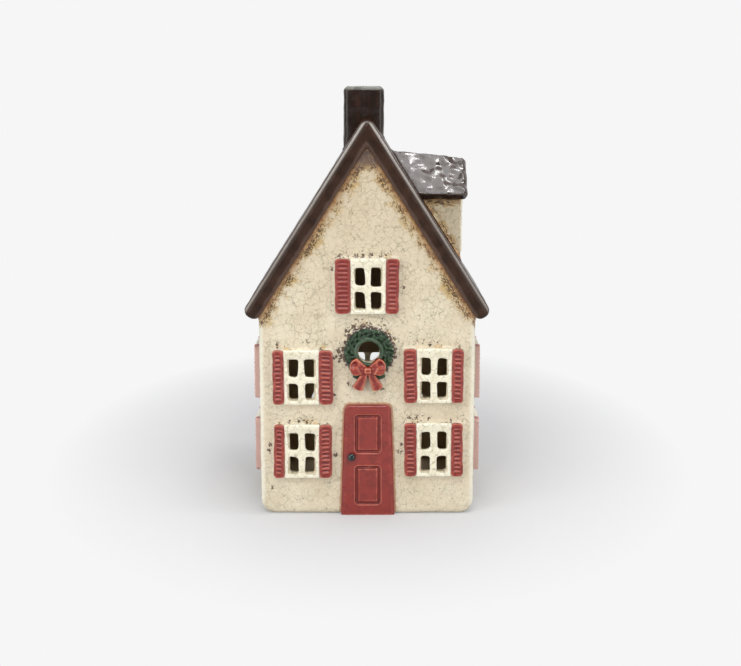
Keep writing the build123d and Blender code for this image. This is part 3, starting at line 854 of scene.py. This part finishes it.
louvredShutter = {"slats": 11, "stile": 1.3 * mm, "end": (0.4 * mm, 0.5 * mm, 0.5 * mm),
                  "endShares": (0.5, 0.8, 0.94, 1), "slatShare": 0.34, "slatGive": 0.12,
                  "ridge": (0.1 * mm, 0.22 * mm), "pocket": (0.06 * mm, -0.26 * mm), "crown": 0.6 * mm,
                  "sideCrown": 0.1 * mm, "sink": 0.6 * mm, "lean": 0.3 * mm, "tilt": 0.3 * mm,
                  "swell": 0.22 * mm, "waves": 7, "clay": (0.27 * mm, 2, toolLumps, 0.3 * mm),
                  "wearAndSheen": (5, 0.13 * mm)}


def louvredBoard(name, width, height, depth, crown, pale=0.0):    # two stiles, and rungs between pockets
    shape = louvredShutter
    sink, ends = shape["sink"], list(shape["end"])
    pitch = (height - 2 * sum(ends)) / shape["slats"]
    slat = pitch * shape["slatShare"]
    lengths = list(ends)
    for index in range(shape["slats"]):
        give = wobble(shape["slatGive"] * pitch)
        lengths += [(pitch - slat) / 2, slat + give, (pitch - slat) / 2 - give]
    rows = spread(-height / 2, lengths + ends[::-1])
    columns = spread(-width / 2, [shape["stile"], width - 2 * shape["stile"], shape["stile"]])
    face = -depth + shape["ridge"][1]
    board = gridPlate(name, columns, rows, sink)
    lean = wobble(shape["lean"])
    phase = random.uniform(0, math.tau)
    tilt = wobble(shape["tilt"])
    for point in board.data.vertices:
        row = min(range(len(rows)), key=lambda r: abs(rows[r] - point.co.z))
        fromEnd = min(row, len(rows) - 1 - row)
        narrow = shape["endShares"][min(fromEnd, len(ends))]
        swell = shape["swell"] * math.sin(point.co.z / height * shape["waves"] + phase)
        point.co.z += tilt * point.co.x / width * 2 * min(fromEnd, 1)
        point.co.x = point.co.x * narrow + lean * point.co.z / height * 2
        if abs(point.co.x) > width / 6:
            point.co.x += math.copysign(swell, point.co.x)
    thicken(board, face, sink)

    def isSlat(spot, normal, parts, deepest=-math.inf):    # a slat's parts: pocket, rung, pocket
        slats = range(len(ends), len(rows) - 1 - len(ends))
        kinds = [(row - len(ends)) % 3 for row in slats if rows[row] < spot.z < rows[row + 1]]
        middle = abs(spot.x) < (width / 2 - shape["stile"]) / 2
        return normal.y < -0.9 and middle and bool(kinds) and kinds[0] in parts and spot.y > deepest

    pickParts(board, "FACE", lambda spot, normal: isSlat(spot, normal, (1,)))
    bpy.ops.mesh.inset(thickness=shape["ridge"][0], depth=shape["ridge"][1], use_individual=True)
    pickParts(board, "FACE", lambda spot, normal: isSlat(spot, normal, (0, 2), face - 0.05 * mm))
    bpy.ops.mesh.inset(thickness=shape["pocket"][0], depth=shape["pocket"][1], use_individual=False)
    objectMode()
    fireClay(board, *shape["clay"])
    points = readPoints(board)    # the front is crowned across
    side = np.clip(np.abs(points[:, 0]) / (width / 2), 0, 1)
    front = np.clip(-points[:, 1] / depth, 0, 1)
    points[:, 1] += front * crown * side ** 3
    movePoints(board, points)
    paintWearAndSheen(board, *shape["wearAndSheen"])
    paint(board, "pale", pale * np.clip((side - 0.5) / 0.4, 0, 1))
    return board


def makeShutters():
    for name in frontWindows:
        for side in ("left", "right"):
            node = f"{name}_{side}_shutter"
            low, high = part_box(node)
            size = high - low
            board = louvredBoard("clay_" + node, size.x, size.z, size.y, louvredShutter["crown"])
            standOn(board, node, "front")
            dress(board, "shutter_glaze", "house", node)
    for name in sideWindows:
        node = f"{name}_shutters"
        low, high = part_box(node)
        frameLow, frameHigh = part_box(f"{name}_window_frame")
        width = ((high.y - low.y) - (frameHigh.y - frameLow.y)) / 2
        tall, deep, crown = high.z - low.z, high.x - low.x, louvredShutter["sideCrown"]
        boards = []
        for way in (-1, 1):
            boards.append(louvredBoard("board", width, tall, deep, crown, 1.0))
            standOn(boards[-1], node, name.split("_")[0], way * (high.y - low.y - width) / 2)
        dress(joinAll(boards, "clay_" + node), "shutter_glaze", "house", node)


makeShutters()
print("shutters done")


doorLeaf = {"headShare": 0.86, "headRound": 2.6 * mm, "panelWidth": 12.5 * mm, "lowerPanel": (4.4, 23.4),
            "upperPanel": (28.2, 46.8), "panelRound": 1.5 * mm, "cornerShare": 0.4, "bead": 0.3 * mm,
            "insets": ((0.3, 0.3), (0.12, 0), (0.35, -1.05), (0.9, 0), (0.4, 0.85)), "sink": 0.6 * mm,
            "edgeRound": 1.5 * mm, "edgeDrop": 0.9 * mm, "clay": (0.29 * mm, 2, handLumps, 0.4 * mm),
            "wearAndSheen": (6, 0.2 * mm), "wearAndSheenEdge": 1.4 * mm, "wearAndSheenFrom": 0.4}


def makeDoor():
    low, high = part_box("door")
    size = high - low
    panel, turn, sink = doorLeaf["panelWidth"] / 2, doorLeaf["panelRound"], doorLeaf["sink"]
    panels = [[z * mm - size.z / 2 for z in doorLeaf[name]] for name in ("lowerPanel", "upperPanel")]
    rows = [-size.z / 2]
    for foot, head in panels:
        rows += [foot, foot + turn, head - turn, head]
    rows.append(size.z / 2)
    face = -size.y + doorLeaf["bead"]
    columns = [-size.x / 2, -panel, turn - panel, panel - turn, panel, size.x / 2]
    leaf = gridPlate("clay_door", columns, rows, sink)
    for point in leaf.data.vertices:
        if abs(point.co.x) > panel + hair:    # the leaf narrows to its head
            point.co.x *= 1 - (1 - doorLeaf["headShare"]) * (point.co.z / size.z + 0.5)
        elif abs(point.co.x) > panel - hair:    # the panels' corners are turned
            for foot, head in panels:
                for end, way in ((foot, 1), (head, -1)):
                    if abs(point.co.z - end) < hair:
                        point.co.x -= math.copysign(turn * doorLeaf["cornerShare"], point.co.x)
                        point.co.z += way * turn * doorLeaf["cornerShare"]
    thicken(leaf, face, sink)
    pickParts(leaf, "EDGE", lambda first, second: abs(first.y - second.y) > size.y / 2
              and first.z > size.z / 2 - hair and abs(first.x) > panel + hair)
    bpy.ops.mesh.bevel(offset=doorLeaf["headRound"], segments=5, affect="EDGES")
    pickParts(leaf, "FACE", lambda spot, normal: normal.y < -0.9 and abs(spot.x) < panel - hair
              and any(foot < spot.z < head for foot, head in panels))
    bpy.ops.mesh.dissolve_faces()
    for thickness, rise in doorLeaf["insets"]:    # bead, flat, the groove's side and floor, the panel's side
        bpy.ops.mesh.inset(thickness=thickness * mm, depth=rise * mm, use_individual=True)
    objectMode()
    fireClay(leaf, *doorLeaf["clay"])
    points = readPoints(leaf)    # the front's outer edge is rounded
    across = size.x / 2 * (1 - (1 - doorLeaf["headShare"]) * (points[:, 2] / size.z + 0.5))
    toEdge = np.minimum(across - np.abs(points[:, 0]), size.z / 2 - points[:, 2])
    front = np.clip(-points[:, 1] / size.y, 0, 1)
    points[:, 1] += front * doorLeaf["edgeDrop"] * np.clip(1 - toEdge / doorLeaf["edgeRound"], 0, 1) ** 2
    movePoints(leaf, points)
    paintWearAndSheen(leaf, *doorLeaf["wearAndSheen"], np.clip(toEdge / doorLeaf["wearAndSheenEdge"] - doorLeaf["wearAndSheenFrom"], 0, 1))
    standOn(leaf, "door", "front")
    points = readPoints(leaf)
    points[:, 2] = np.maximum(points[:, 2], 0)
    movePoints(leaf, points)
    dress(leaf, "door_glaze", "house", "door")


doorKnob = {"proud": 0.3 * mm, "stretch": 1.1, "clay": (0.18 * mm, 2, toolLumps, 0.3 * mm),
            "wearAndSheen": (6, 0.2 * mm)}


def makeKnob():
    low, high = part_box("door_knob")
    middle = (low + high) / 2
    startFresh()
    bpy.ops.mesh.primitive_uv_sphere_add(segments=32, ring_count=20, radius=(high.x - low.x) / 2,
                                         location=(middle.x, middle.y + doorKnob["proud"], middle.z))
    knob = bpy.context.object
    knob.name = "clay_door_knob"
    knob.scale = (1, (high.y - low.y) / (high.x - low.x) * doorKnob["stretch"], 1)
    settle(knob)
    fireClay(knob, *doorKnob["clay"])
    paintWearAndSheen(knob, *doorKnob["wearAndSheen"])
    dress(knob, "knob_glaze", "house", "door_knob")


makeDoor()
makeKnob()
print("door and knob done")


wreathRing = {"bore": 4.9 * mm, "leaves": ((11.0, 34, 3.3), (9.4, 30, 3.4), (7.7, 24, 3.0)),
              "leafTurns": (22, 48, 70, 96), "turnGive": 14, "leafLengths": (0.75, 1.15),
              "leafWidths": (0.6, 0.9), "leafDepth": 0.9 * mm, "roundGive": 0.3, "outGive": 0.35 * mm,
              "core": 1.4 * mm, "sink": 0.5 * mm, "lip": (0.9 * mm, 0.95 * mm), "rimPlace": 0.7 * mm,
              "rimWidth": 1.0 * mm, "rimFull": 1.4, "outerReach": 2.4 * mm, "outerFade": 1.8 * mm,
              "outerSides": 0.75, "outerFoot": (0.8, 0.15), "ringProud": 0.5, "lipProud": 0.52,
              "crest": (8.6, 2.4), "crestProud": (0.66, 0.34), "rock": 0.4, "roll": 0.3,
              "tips": ((6.3, -10.6, 60), (5.3, -11.1, 36), (4.3, -11.6, 12)), "tipProud": 1.6 * mm,
              "tipSize": (1.7 * mm, 0.9 * mm, 0.75 * mm), "footShare": 0.7, "footReach": 1.1,
              "clay": (0.25 * mm, 1, toolLumps, 0.3 * mm), "wearAndSheen": (6, 0.26 * mm)}


def addRing(radius, thickness, rounds, place):
    bpy.ops.mesh.primitive_torus_add(major_segments=72, minor_segments=rounds, major_radius=radius,
                                     minor_radius=thickness, rotation=(math.pi / 2, 0, 0), location=place)
    return bpy.context.object


def addLeaf(size, place, turns):
    bpy.ops.mesh.primitive_ico_sphere_add(subdivisions=2, radius=1)
    leaf = bpy.context.object
    leaf.scale, leaf.location, leaf.rotation_euler = size, place, turns
    return leaf


def makeWreath():
    low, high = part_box("wreath")
    middle = (low + high) / 2
    reach, depth, bore = (high.x - low.x) / 2, high.y - low.y, wreathRing["bore"]
    startFresh()
    ring = addRing((reach + bore) / 2, (reach - bore) / 2, 20, (0, 0, 0))
    settle(ring)
    points = readPoints(ring)    # flat behind, and within the leaves
    far = np.hypot(points[:, 0], points[:, 2])
    proud = points[:, 1] * wreathRing["ringProud"] * depth / ((reach - bore) / 2)
    points[:, 1] = np.where(points[:, 1] > 0, wreathRing["sink"], proud)
    core = reach - wreathRing["core"]
    points[:, ::2] *= np.where(far > core, core / far, 1)[:, None]
    movePoints(ring, points)
    lipReach, lipSize = wreathRing["lip"]
    parts = [ring, addRing(bore + lipReach, lipSize, 16, (0, -depth * wreathRing["lipProud"], 0))]
    crest, width = wreathRing["crest"]
    top, fall = wreathRing["crestProud"]
    for distance, count, length in wreathRing["leaves"]:
        for index in range(count):
            turn = math.tau * (index + wobble(wreathRing["roundGive"])) / count
            far = distance * mm + wobble(wreathRing["outGive"])
            rise = depth * (top - fall * abs(distance - crest) / width)    # highest along the crest
            size = (length * mm / 2 * random.uniform(*wreathRing["leafLengths"]), wreathRing["leafDepth"],
                    random.uniform(*wreathRing["leafWidths"]) * mm)
            rock = wobble(wreathRing["rock"])
            swing = math.radians(random.choice(wreathRing["leafTurns"]) + wobble(wreathRing["turnGive"]))
            place = (far * math.cos(turn), -rise, far * math.sin(turn))
            parts.append(addLeaf(size, place, (rock, swing - turn, wobble(wreathRing["roll"]))))
    for way in (-1, 1):    # the leaf tips under the bow
        for across, up, lean in wreathRing["tips"]:
            place = (way * across * mm, -wreathRing["tipProud"], up * mm)
            parts.append(addLeaf(wreathRing["tipSize"], place, (0, way * math.radians(lean), 0)))
    whole = joinAll(parts, "clay_wreath")
    settle(whole)
    fireClay(whole, *wreathRing["clay"])
    points = readPoints(whole)
    far = np.hypot(points[:, 0], points[:, 2])
    room = np.where(points[:, 2] < -wreathRing["footShare"] * reach, wreathRing["footReach"], 1) * reach
    points[:, ::2] *= np.clip(room / np.maximum(far, 1e-6), 0, 1)[:, None]
    points[:, 1] = np.maximum(points[:, 1], -depth)
    movePoints(whole, points)
    paintWearAndSheen(whole, *wreathRing["wearAndSheen"])
    fromRim = np.abs(far - bore - wreathRing["rimPlace"]) / wreathRing["rimWidth"]
    paint(whole, "rim", np.clip(wreathRing["rimFull"] - fromRim, 0, 1))
    up = points[:, 2] / reach
    outer = np.clip((far - reach + wreathRing["outerReach"]) / wreathRing["outerFade"], 0, 1)
    foot, fade = wreathRing["outerFoot"]
    sides = wreathRing["outerSides"]
    # stronger towards the top: the brown edge there, and the painted glints that gather on top
    outer *= (sides + (1 - sides) * np.clip(up, 0, 1)) * np.clip((up + foot) / fade, 0, 1)
    paint(whole, "outer", outer)
    moveTo(whole, (middle.x, high.y, middle.z))
    dress(whole, "wreath_glaze", "house", "wreath")


makeWreath()
print("wreath done")


ribbonBow = {"row": 66.8 * mm, "nudge": -0.5 * mm, "steps": 16, "span": 15.8 * mm, "loopDepth": 4.3 * mm,
             "loopTop": ((0, 0.12, 0.35, 0.6, 0.8, 0.93, 1), (1.3, 2.0, 3.7, 5.3, 4.8, 3.7, 2.4)),
             "loopFoot": ((0, 0.25, 0.65, 0.85, 0.95, 1), (-1.2, -1.5, -2.3, -1.9, -0.8, 0.4)),
             "blank": 2 * mm, "puff": 1.5 * mm, "hollow": 1.5 * mm, "crease": 0.7 * mm, "fold": 0.5 * mm,
             "hollowSpot": (0.72, 0.16, 0.4, 0.27), "shadeSpot": (0.74, 0.18, 0.42, 0.3),
             "pinchSpot": (0.33, 0.11, 0.25, 0.35), "creaseRows": (0.3, -0.35), "creaseWidth": 0.16,
             "tailProud": (4.8 * mm, 1.5 * mm), "tailShade": (0.5, 0.9 * mm, 3.4 * mm),
             "tailDrop": 8.4 * mm, "tailPoint": 1.0 * mm, "tailSlant": 0.9 * mm, "tailStart": 0.7 * mm,
             "tailReach": 4.4 * mm, "tailNarrow": 1.0 * mm, "tailHalf": 2.3 * mm, "tailGroove": 0.55 * mm,
             "tailCurl": 0.25 * mm, "knot": (1.6 * mm, 1.7 * mm, 1.35 * mm),
             "knotPlace": (0, -5.0 * mm, 0.1 * mm), "knotRound": 0.8 * mm,
             "clay": (0.24 * mm, 2, toolLumps, 0.22 * mm), "wearAndSheen": (7, 0.17 * mm)}


def hill(away, width):    # 1 in the middle, falling off on both sides
    return math.exp(-(away / width) ** 2)


def dent(u, v, spot):    # 1 in its middle; spot: its place and width along u, and then along v
    return hill(u - spot[0], spot[1]) * hill(v - spot[2], spot[3])


def loopEdges(u):    # the loop's lower and upper outline
    return [np.interp(u, *ribbonBow[name]) * mm for name in ("loopFoot", "loopTop")]


def loopShare(x, z):    # where a point lies on the loop: out from the knot, and up between the outlines
    u = min(abs(x) / (ribbonBow["span"] / 2), 1)
    foot, top = loopEdges(u)
    return u, 2 * (z - foot) / (top - foot) - 1


def ribbonLoop(side):    # u runs out from the knot, v up
    steps = ribbonBow["steps"]
    across = [step / steps for step in range(steps + 1)]
    loop = gridPlate("loop", across, [2 * share - 1 for share in across], 0)
    for point in loop.data.vertices:
        u, v = point.co.x, point.co.z
        foot, top = loopEdges(u)
        point.co.x = side * u * ribbonBow["span"] / 2
        point.co.z = foot + (top - foot) * (v + 1) / 2
    thicken(loop, -ribbonBow["blank"], 0)
    for point in loop.data.vertices:
        if point.co.y < -ribbonBow["blank"] / 2:
            u, v = loopShare(point.co.x, point.co.z)
            puff = ribbonBow["puff"] * math.sin(math.pi * min(max(u * 0.9 + 0.06, 0.06), 0.94)) ** 0.6
            puff *= 1 - 0.35 * v * v
            hollow = ribbonBow["hollow"] * dent(u, v, ribbonBow["hollowSpot"])
            rows = sum(hill(v - row, ribbonBow["creaseWidth"]) for row in ribbonBow["creaseRows"])
            creases = ribbonBow["crease"] * max(0, 1 - 2 * u) * rows
            fold = ribbonBow["fold"] * hill(u - 0.45 - 0.2 * v, 0.07) * (v < 0.2)
            point.co.y = -ribbonBow["loopDepth"] - puff + hollow + creases + fold
    return loop


def ribbonTail(side):    # u runs across, v down
    steps = ribbonBow["steps"]
    start, narrow = ribbonBow["tailStart"], ribbonBow["tailNarrow"]
    down = [step / steps for step in range(steps + 1)]
    tail = gridPlate("tail", [2 * share - 1 for share in down], down, 0)
    shares = {}    # where each point lies on the tail, found again by its place
    for point in tail.data.vertices:
        u, v = point.co.x, point.co.z
        half = narrow + (ribbonBow["tailHalf"] - narrow) * v ** 0.8
        drop = ribbonBow["tailDrop"] + ribbonBow["tailPoint"] * (1 - u * u)
        point.co.x = side * (start + (ribbonBow["tailReach"] - start) * v) + u * half
        point.co.z = -v * drop + ribbonBow["tailSlant"] * side * u * v
        shares[(round(point.co.x / mm, 4), round(point.co.z / mm, 4))] = (u, v)
    thicken(tail, -ribbonBow["blank"], 0.5 * mm)
    proud, thin = ribbonBow["tailProud"]
    for point in tail.data.vertices:
        if point.co.y < -ribbonBow["blank"] / 2:
            u, v = shares[(round(point.co.x / mm, 4), round(point.co.z / mm, 4))]
            groove = ribbonBow["tailGroove"] * hill(u, 0.38) * min(v * 2, 1)
            curl = ribbonBow["tailCurl"] * max(0, abs(u) - 0.8) / 0.2
            point.co.y = thin * v - proud + groove + curl
    return tail


def makeBow():
    low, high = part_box("bow")
    parts = [ribbonLoop(-1), ribbonLoop(1), ribbonTail(-1), ribbonTail(1)]
    startFresh()
    bpy.ops.mesh.primitive_cube_add(size=2, location=ribbonBow["knotPlace"])
    knot = bpy.context.object
    knot.scale = ribbonBow["knot"]
    settle(knot)
    applyModifier(knot, "BEVEL", width=ribbonBow["knotRound"], segments=3)
    whole = joinAll(parts + [knot], "clay_bow")
    settle(whole)
    mergePoints(whole)
    fireClay(whole, *ribbonBow["clay"])
    paintWearAndSheen(whole, *ribbonBow["wearAndSheen"])
    share, wide, start = ribbonBow["tailShade"]
    # painted shade: the loops' hollow, the pinch by the knot and the tails made darker where shade falls
    paintedShade = []
    for x, _, z in readPoints(whole):
        u, v = loopShare(x, z)
        tail = share * hill(abs(x) + z / 2, wide) * (z < -start)
        loop = 0.8 * dent(u, v, ribbonBow["shadeSpot"]) + dent(u, v, ribbonBow["pinchSpot"])
        paintedShade.append(min(loop + tail, 1))
    paint(whole, "hollow", paintedShade)
    moveTo(whole, ((low.x + high.x) / 2 + ribbonBow["nudge"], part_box("door")[1].y, ribbonBow["row"]))
    dress(whole, "bow_glaze", "house", "bow")


makeBow()
print("bow done")


# Tealight

tealight = {"foil": (rgb(205, 206, 208), rgb(228, 228, 229)),
            "cotton": (rgb(206, 198, 180), rgb(238, 233, 221)),
            "steel": (rgb(150, 150, 152), rgb(190, 190, 190)),
            "wax": (rgb(238, 233, 220), rgb(246, 243, 234)), "waxDepth": (3 * mm, 2.5 * mm, 2 * mm),
            "braid": 900.0, "steps": 96, "wickSteps": 16, "flutes": 48, "fluteDepth": 0.12 * mm,
            "skin": 0.4 * mm, "waxGap": 0.1 * mm, "wickRungs": 20, "wickLean": 0.18 / (7 * mm)}


def makeFoil():
    material, point = startMaterial("cupFoil")
    rolled = noise(objectPoint((1, 1, 6)), 3, 3)
    return finishMaterial(material, mixed(rolled, *tealight["foil"]), between(rolled, 0.3, 0.7, 0.14, 0.26),
                          noise(point, 2.5, 2), 0.05, {"Metallic": 1.0})


def makeWax():
    material, point = startMaterial("paraffinWax")
    cloud = noise(point, 5, 3)
    depths = {"Subsurface Weight": 0.3, "Subsurface Radius": tealight["waxDepth"], "Subsurface Scale": 1.0}
    return finishMaterial(material, mixed(cloud, *tealight["wax"]), between(cloud, 0.3, 0.7, 0.32, 0.46),
                          cloud, 0.2, depths)


def makeCotton():
    material, _ = startMaterial("wickCotton")
    values = {"Vector": objectPoint((1, 1, 0.5)), "Scale": tealight["braid"], "Distortion": 2.0}
    braid = addNode("ShaderNodeTexWave", values, bands_direction="DIAGONAL").outputs["Fac"]
    return finishMaterial(material, mixed(braid, *tealight["cotton"]), 0.8, braid, 0.12)


def makeSteel():
    material, point = startMaterial("tabSteel")
    grain = noise(objectPoint((1, 12, 1)), 1, 2)
    return finishMaterial(material, mixed(grain, *tealight["steel"]), between(grain, 0.3, 0.7, 0.3, 0.45),
                          noise(point, 2), 0.05, {"Metallic": 1.0})


finishes.update({"cup_aluminium": makeFoil(), "candle_wax": makeWax(), "wick_cotton": makeCotton(),
                 "tab_steel": makeSteel()})


def lathe(name, profile, steps):    # turns an open profile of radius and height round +Z
    mesh = bpy.data.meshes.new(name)
    edges = [(i, i + 1) for i in range(len(profile) - 1)]
    mesh.from_pydata([(radius, 0, height) for radius, height in profile], edges, [])
    piece = newPiece(name, mesh)
    openMesh(piece)
    bpy.ops.mesh.spin(steps=steps, angle=math.tau, center=(0, 0, 0), axis=(0, 0, 1))
    objectMode()
    mergePoints(piece)
    return piece


def dressTurned(piece, slot, node):
    smoothUnder(piece, 40)
    dress(piece, slot, "tealight", node)


def makeCup():
    low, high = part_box("candle_cup")
    waxLow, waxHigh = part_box("candle_wax")
    rim, foot, top, skin = (high.x - low.x) / 2, low.z, high.z, tealight["skin"]
    inner = (waxHigh.x - waxLow.x) / 2 + tealight["waxGap"]
    side = inner + skin
    profile = [(0, foot), (side - 1.6 * mm, foot), (side - 0.6 * mm, foot + 0.25 * mm),
               (side, foot + 1.2 * mm), (side, top - 1.0 * mm), (side + 0.25 * mm, top - 0.5 * mm),
               (rim - 0.15 * mm, top - 0.45 * mm), (rim, top - 0.2 * mm), (rim - 0.2 * mm, top),
               (inner + 0.15 * mm, top), (inner, top - 0.3 * mm), (inner, foot + 1.4 * mm),
               (inner - 0.9 * mm, foot + skin), (0, foot + skin)]
    cup = lathe("candleCup", profile, tealight["steps"])
    points = readPoints(cup)    # the outer wall is fluted
    turn = np.arctan2(points[:, 1], points[:, 0])
    fluted = ((np.hypot(points[:, 0], points[:, 1]) > side - 0.01 * mm)
              & (points[:, 2] < top - 0.9 * mm) & (points[:, 2] > foot + 1.1 * mm))
    shrink = 1 - tealight["fluteDepth"] * (1 + np.cos(turn * tealight["flutes"])) / side
    points[:, :2] *= np.where(fluted, shrink, 1)[:, None]
    movePoints(cup, points)
    dressTurned(cup, "cup_aluminium", "candle_cup")


def makeCandle():
    low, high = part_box("candle_wax")
    body, foot, top = (high.x - low.x) / 2, low.z, high.z
    profile = [(0, foot), (body, foot), (body, top), (body - 0.3 * mm, top - 0.05 * mm),
               (body - 1.0 * mm, top - 0.4 * mm), (body - 3.0 * mm, top - 0.6 * mm),
               (4.0 * mm, top - 0.7 * mm), (1.6 * mm, top - 0.5 * mm), (0.8 * mm, top - 0.2 * mm),
               (0, top - 0.2 * mm)]
    dressTurned(lathe("candleWax", profile, tealight["steps"]), "candle_wax", "candle_wax")

    low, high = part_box("candle_wick")
    radius, rungs = (high.x - low.x) / 2, tealight["wickRungs"]
    profile = [(0, low.z), (radius, low.z)]
    for rung in range(1, rungs):
        profile.append((radius * (1 - 0.08 * (rung % 2)), low.z + (high.z - low.z) * rung / rungs))
    profile += [(radius * 0.8, high.z - 0.1 * mm), (0, high.z)]
    wick = lathe("candleWick", profile, tealight["wickSteps"])
    points = readPoints(wick)    # it leans over above the wax
    points[:, 0] += tealight["wickLean"] * np.clip(points[:, 2] - top, 0, None) ** 2
    movePoints(wick, points)
    dressTurned(wick, "wick_cotton", "candle_wick")
    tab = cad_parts["wick_tab"]
    tab.data.materials.clear()
    tab.data.materials.append(finishes["tab_steel"])


makeCup()
makeCandle()
print("tealight done")


# Floor, backdrop and light

# floor is a darker tone than paper: near the house it makes a painted shade halo, out to the fade
studio = {"floorSize": 6.0, "paper": rgb(246, 246, 246), "floor": rgb(205, 205, 207), "fade": (0.075, 0.168),
          "haloBack": 0.1, "haloLong": 0.625, "room": (0.31, 0.6), "roomTurn": (-0.6, 0.4),
          "mirrorTurn": (-0.3, 0.3), "aim": (0, 0, 0.08)}


def rays(*names):    # 1 for rays of these kinds: they see the paper, which lights nothing
    path = addNode("ShaderNodeLightPath")
    return most(*(path.outputs[name] for name in names))


def makeFloor():
    startFresh()
    bpy.ops.mesh.primitive_plane_add(size=studio["floorSize"])
    floor = bpy.context.object
    floor.name = "studioFloor"
    material, point = startMaterial("studioPaper")
    shader = material.node_tree.nodes["Principled BSDF"]
    for key, value in {"Base Color": studio["floor"], "Roughness": 0.9, "Specular IOR Level": 0.0}.items():
        setInput(shader, key, value)
    # painted shade: the floor near the house is darker than the glowing paper beyond
    long = studio["haloLong"]
    haloPoint = addNode("ShaderNodeMapping", {"Vector": point, "Scale": (1, long, 1),
                                         "Location": (0, -studio["haloBack"] * long, 0)})
    away = addNode("ShaderNodeVectorMath", {0: haloPoint.outputs["Vector"]}, operation="LENGTH").outputs["Value"]
    seen = rays("Is Camera Ray", "Is Glossy Ray", "Is Transmission Ray")
    share = times(between(away, *studio["fade"]), seen)
    glow = addNode("ShaderNodeEmission", {"Color": studio["paper"], "Strength": 1.0})
    blend = addNode("ShaderNodeMixShader", {0: share, 1: shader.outputs[0], 2: glow.outputs[0]})
    setInput(material.node_tree.nodes["Material Output"], "Surface", blend.outputs[0])
    floor.data.materials.append(material)


lamps = {
    "topSoftbox": {"place": (-0.14, -0.48, 0.84), "size": 0.7, "power": 2.8},
    "overheadSoftbox": {"place": (0.13, -0.06, 1.05), "size": 0.4, "power": 1.25},
    "glintStrip": {"place": (0.36, -0.12, 1.0), "size": 0.05, "long": 0.4, "power": 1.4},
    "glintBar": {"place": (0.02, -0.66, 0.9), "size": 0.5, "long": 0.05, "power": 1.5},
    "leftStrip": {"place": (-0.62, -0.55, 0.26), "size": 0.5, "power": 2.15},
    "rightStrip": {"place": (0.62, -0.55, 0.26), "size": 0.5, "power": 1.8},
    "rearSoftbox": {"place": (0.0, 0.55, 1.0), "size": 0.3, "power": 1.6},
}


def makeLight():
    world = bpy.data.worlds.new("studioWorld")
    bpy.context.scene.world = world
    world.use_nodes = True
    work["tree"] = world.node_tree
    depth = partOf(addNode("ShaderNodeTexCoord").outputs["Generated"], "Y")
    mirrored = times(rays("Is Glossy Ray"), between(depth, *studio["mirrorTurn"]))
    room = between(depth, *studio["roomTurn"], *studio["room"])
    background = world.node_tree.nodes["Background"]
    setInput(background, "Color", studio["paper"])
    setInput(background, "Strength", most(rays("Is Camera Ray", "Is Transmission Ray"), mirrored, room))
    for name, lamp in lamps.items():
        startFresh()
        bpy.ops.object.light_add(type="AREA", location=lamp["place"])
        light = bpy.context.object
        light.name = name
        light.data.size = lamp["size"]
        if "long" in lamp:
            light.data.shape = "RECTANGLE"
            light.data.size_y = lamp["long"]
        light.data.energy = lamp["power"]
        aim = Vector(studio["aim"]) - Vector(lamp["place"])
        light.rotation_euler = aim.to_track_quat("-Z", "Y").to_euler()


makeFloor()
makeLight()
bpy.context.scene.view_settings.view_transform = "Standard"
print("studio set")

startFresh()
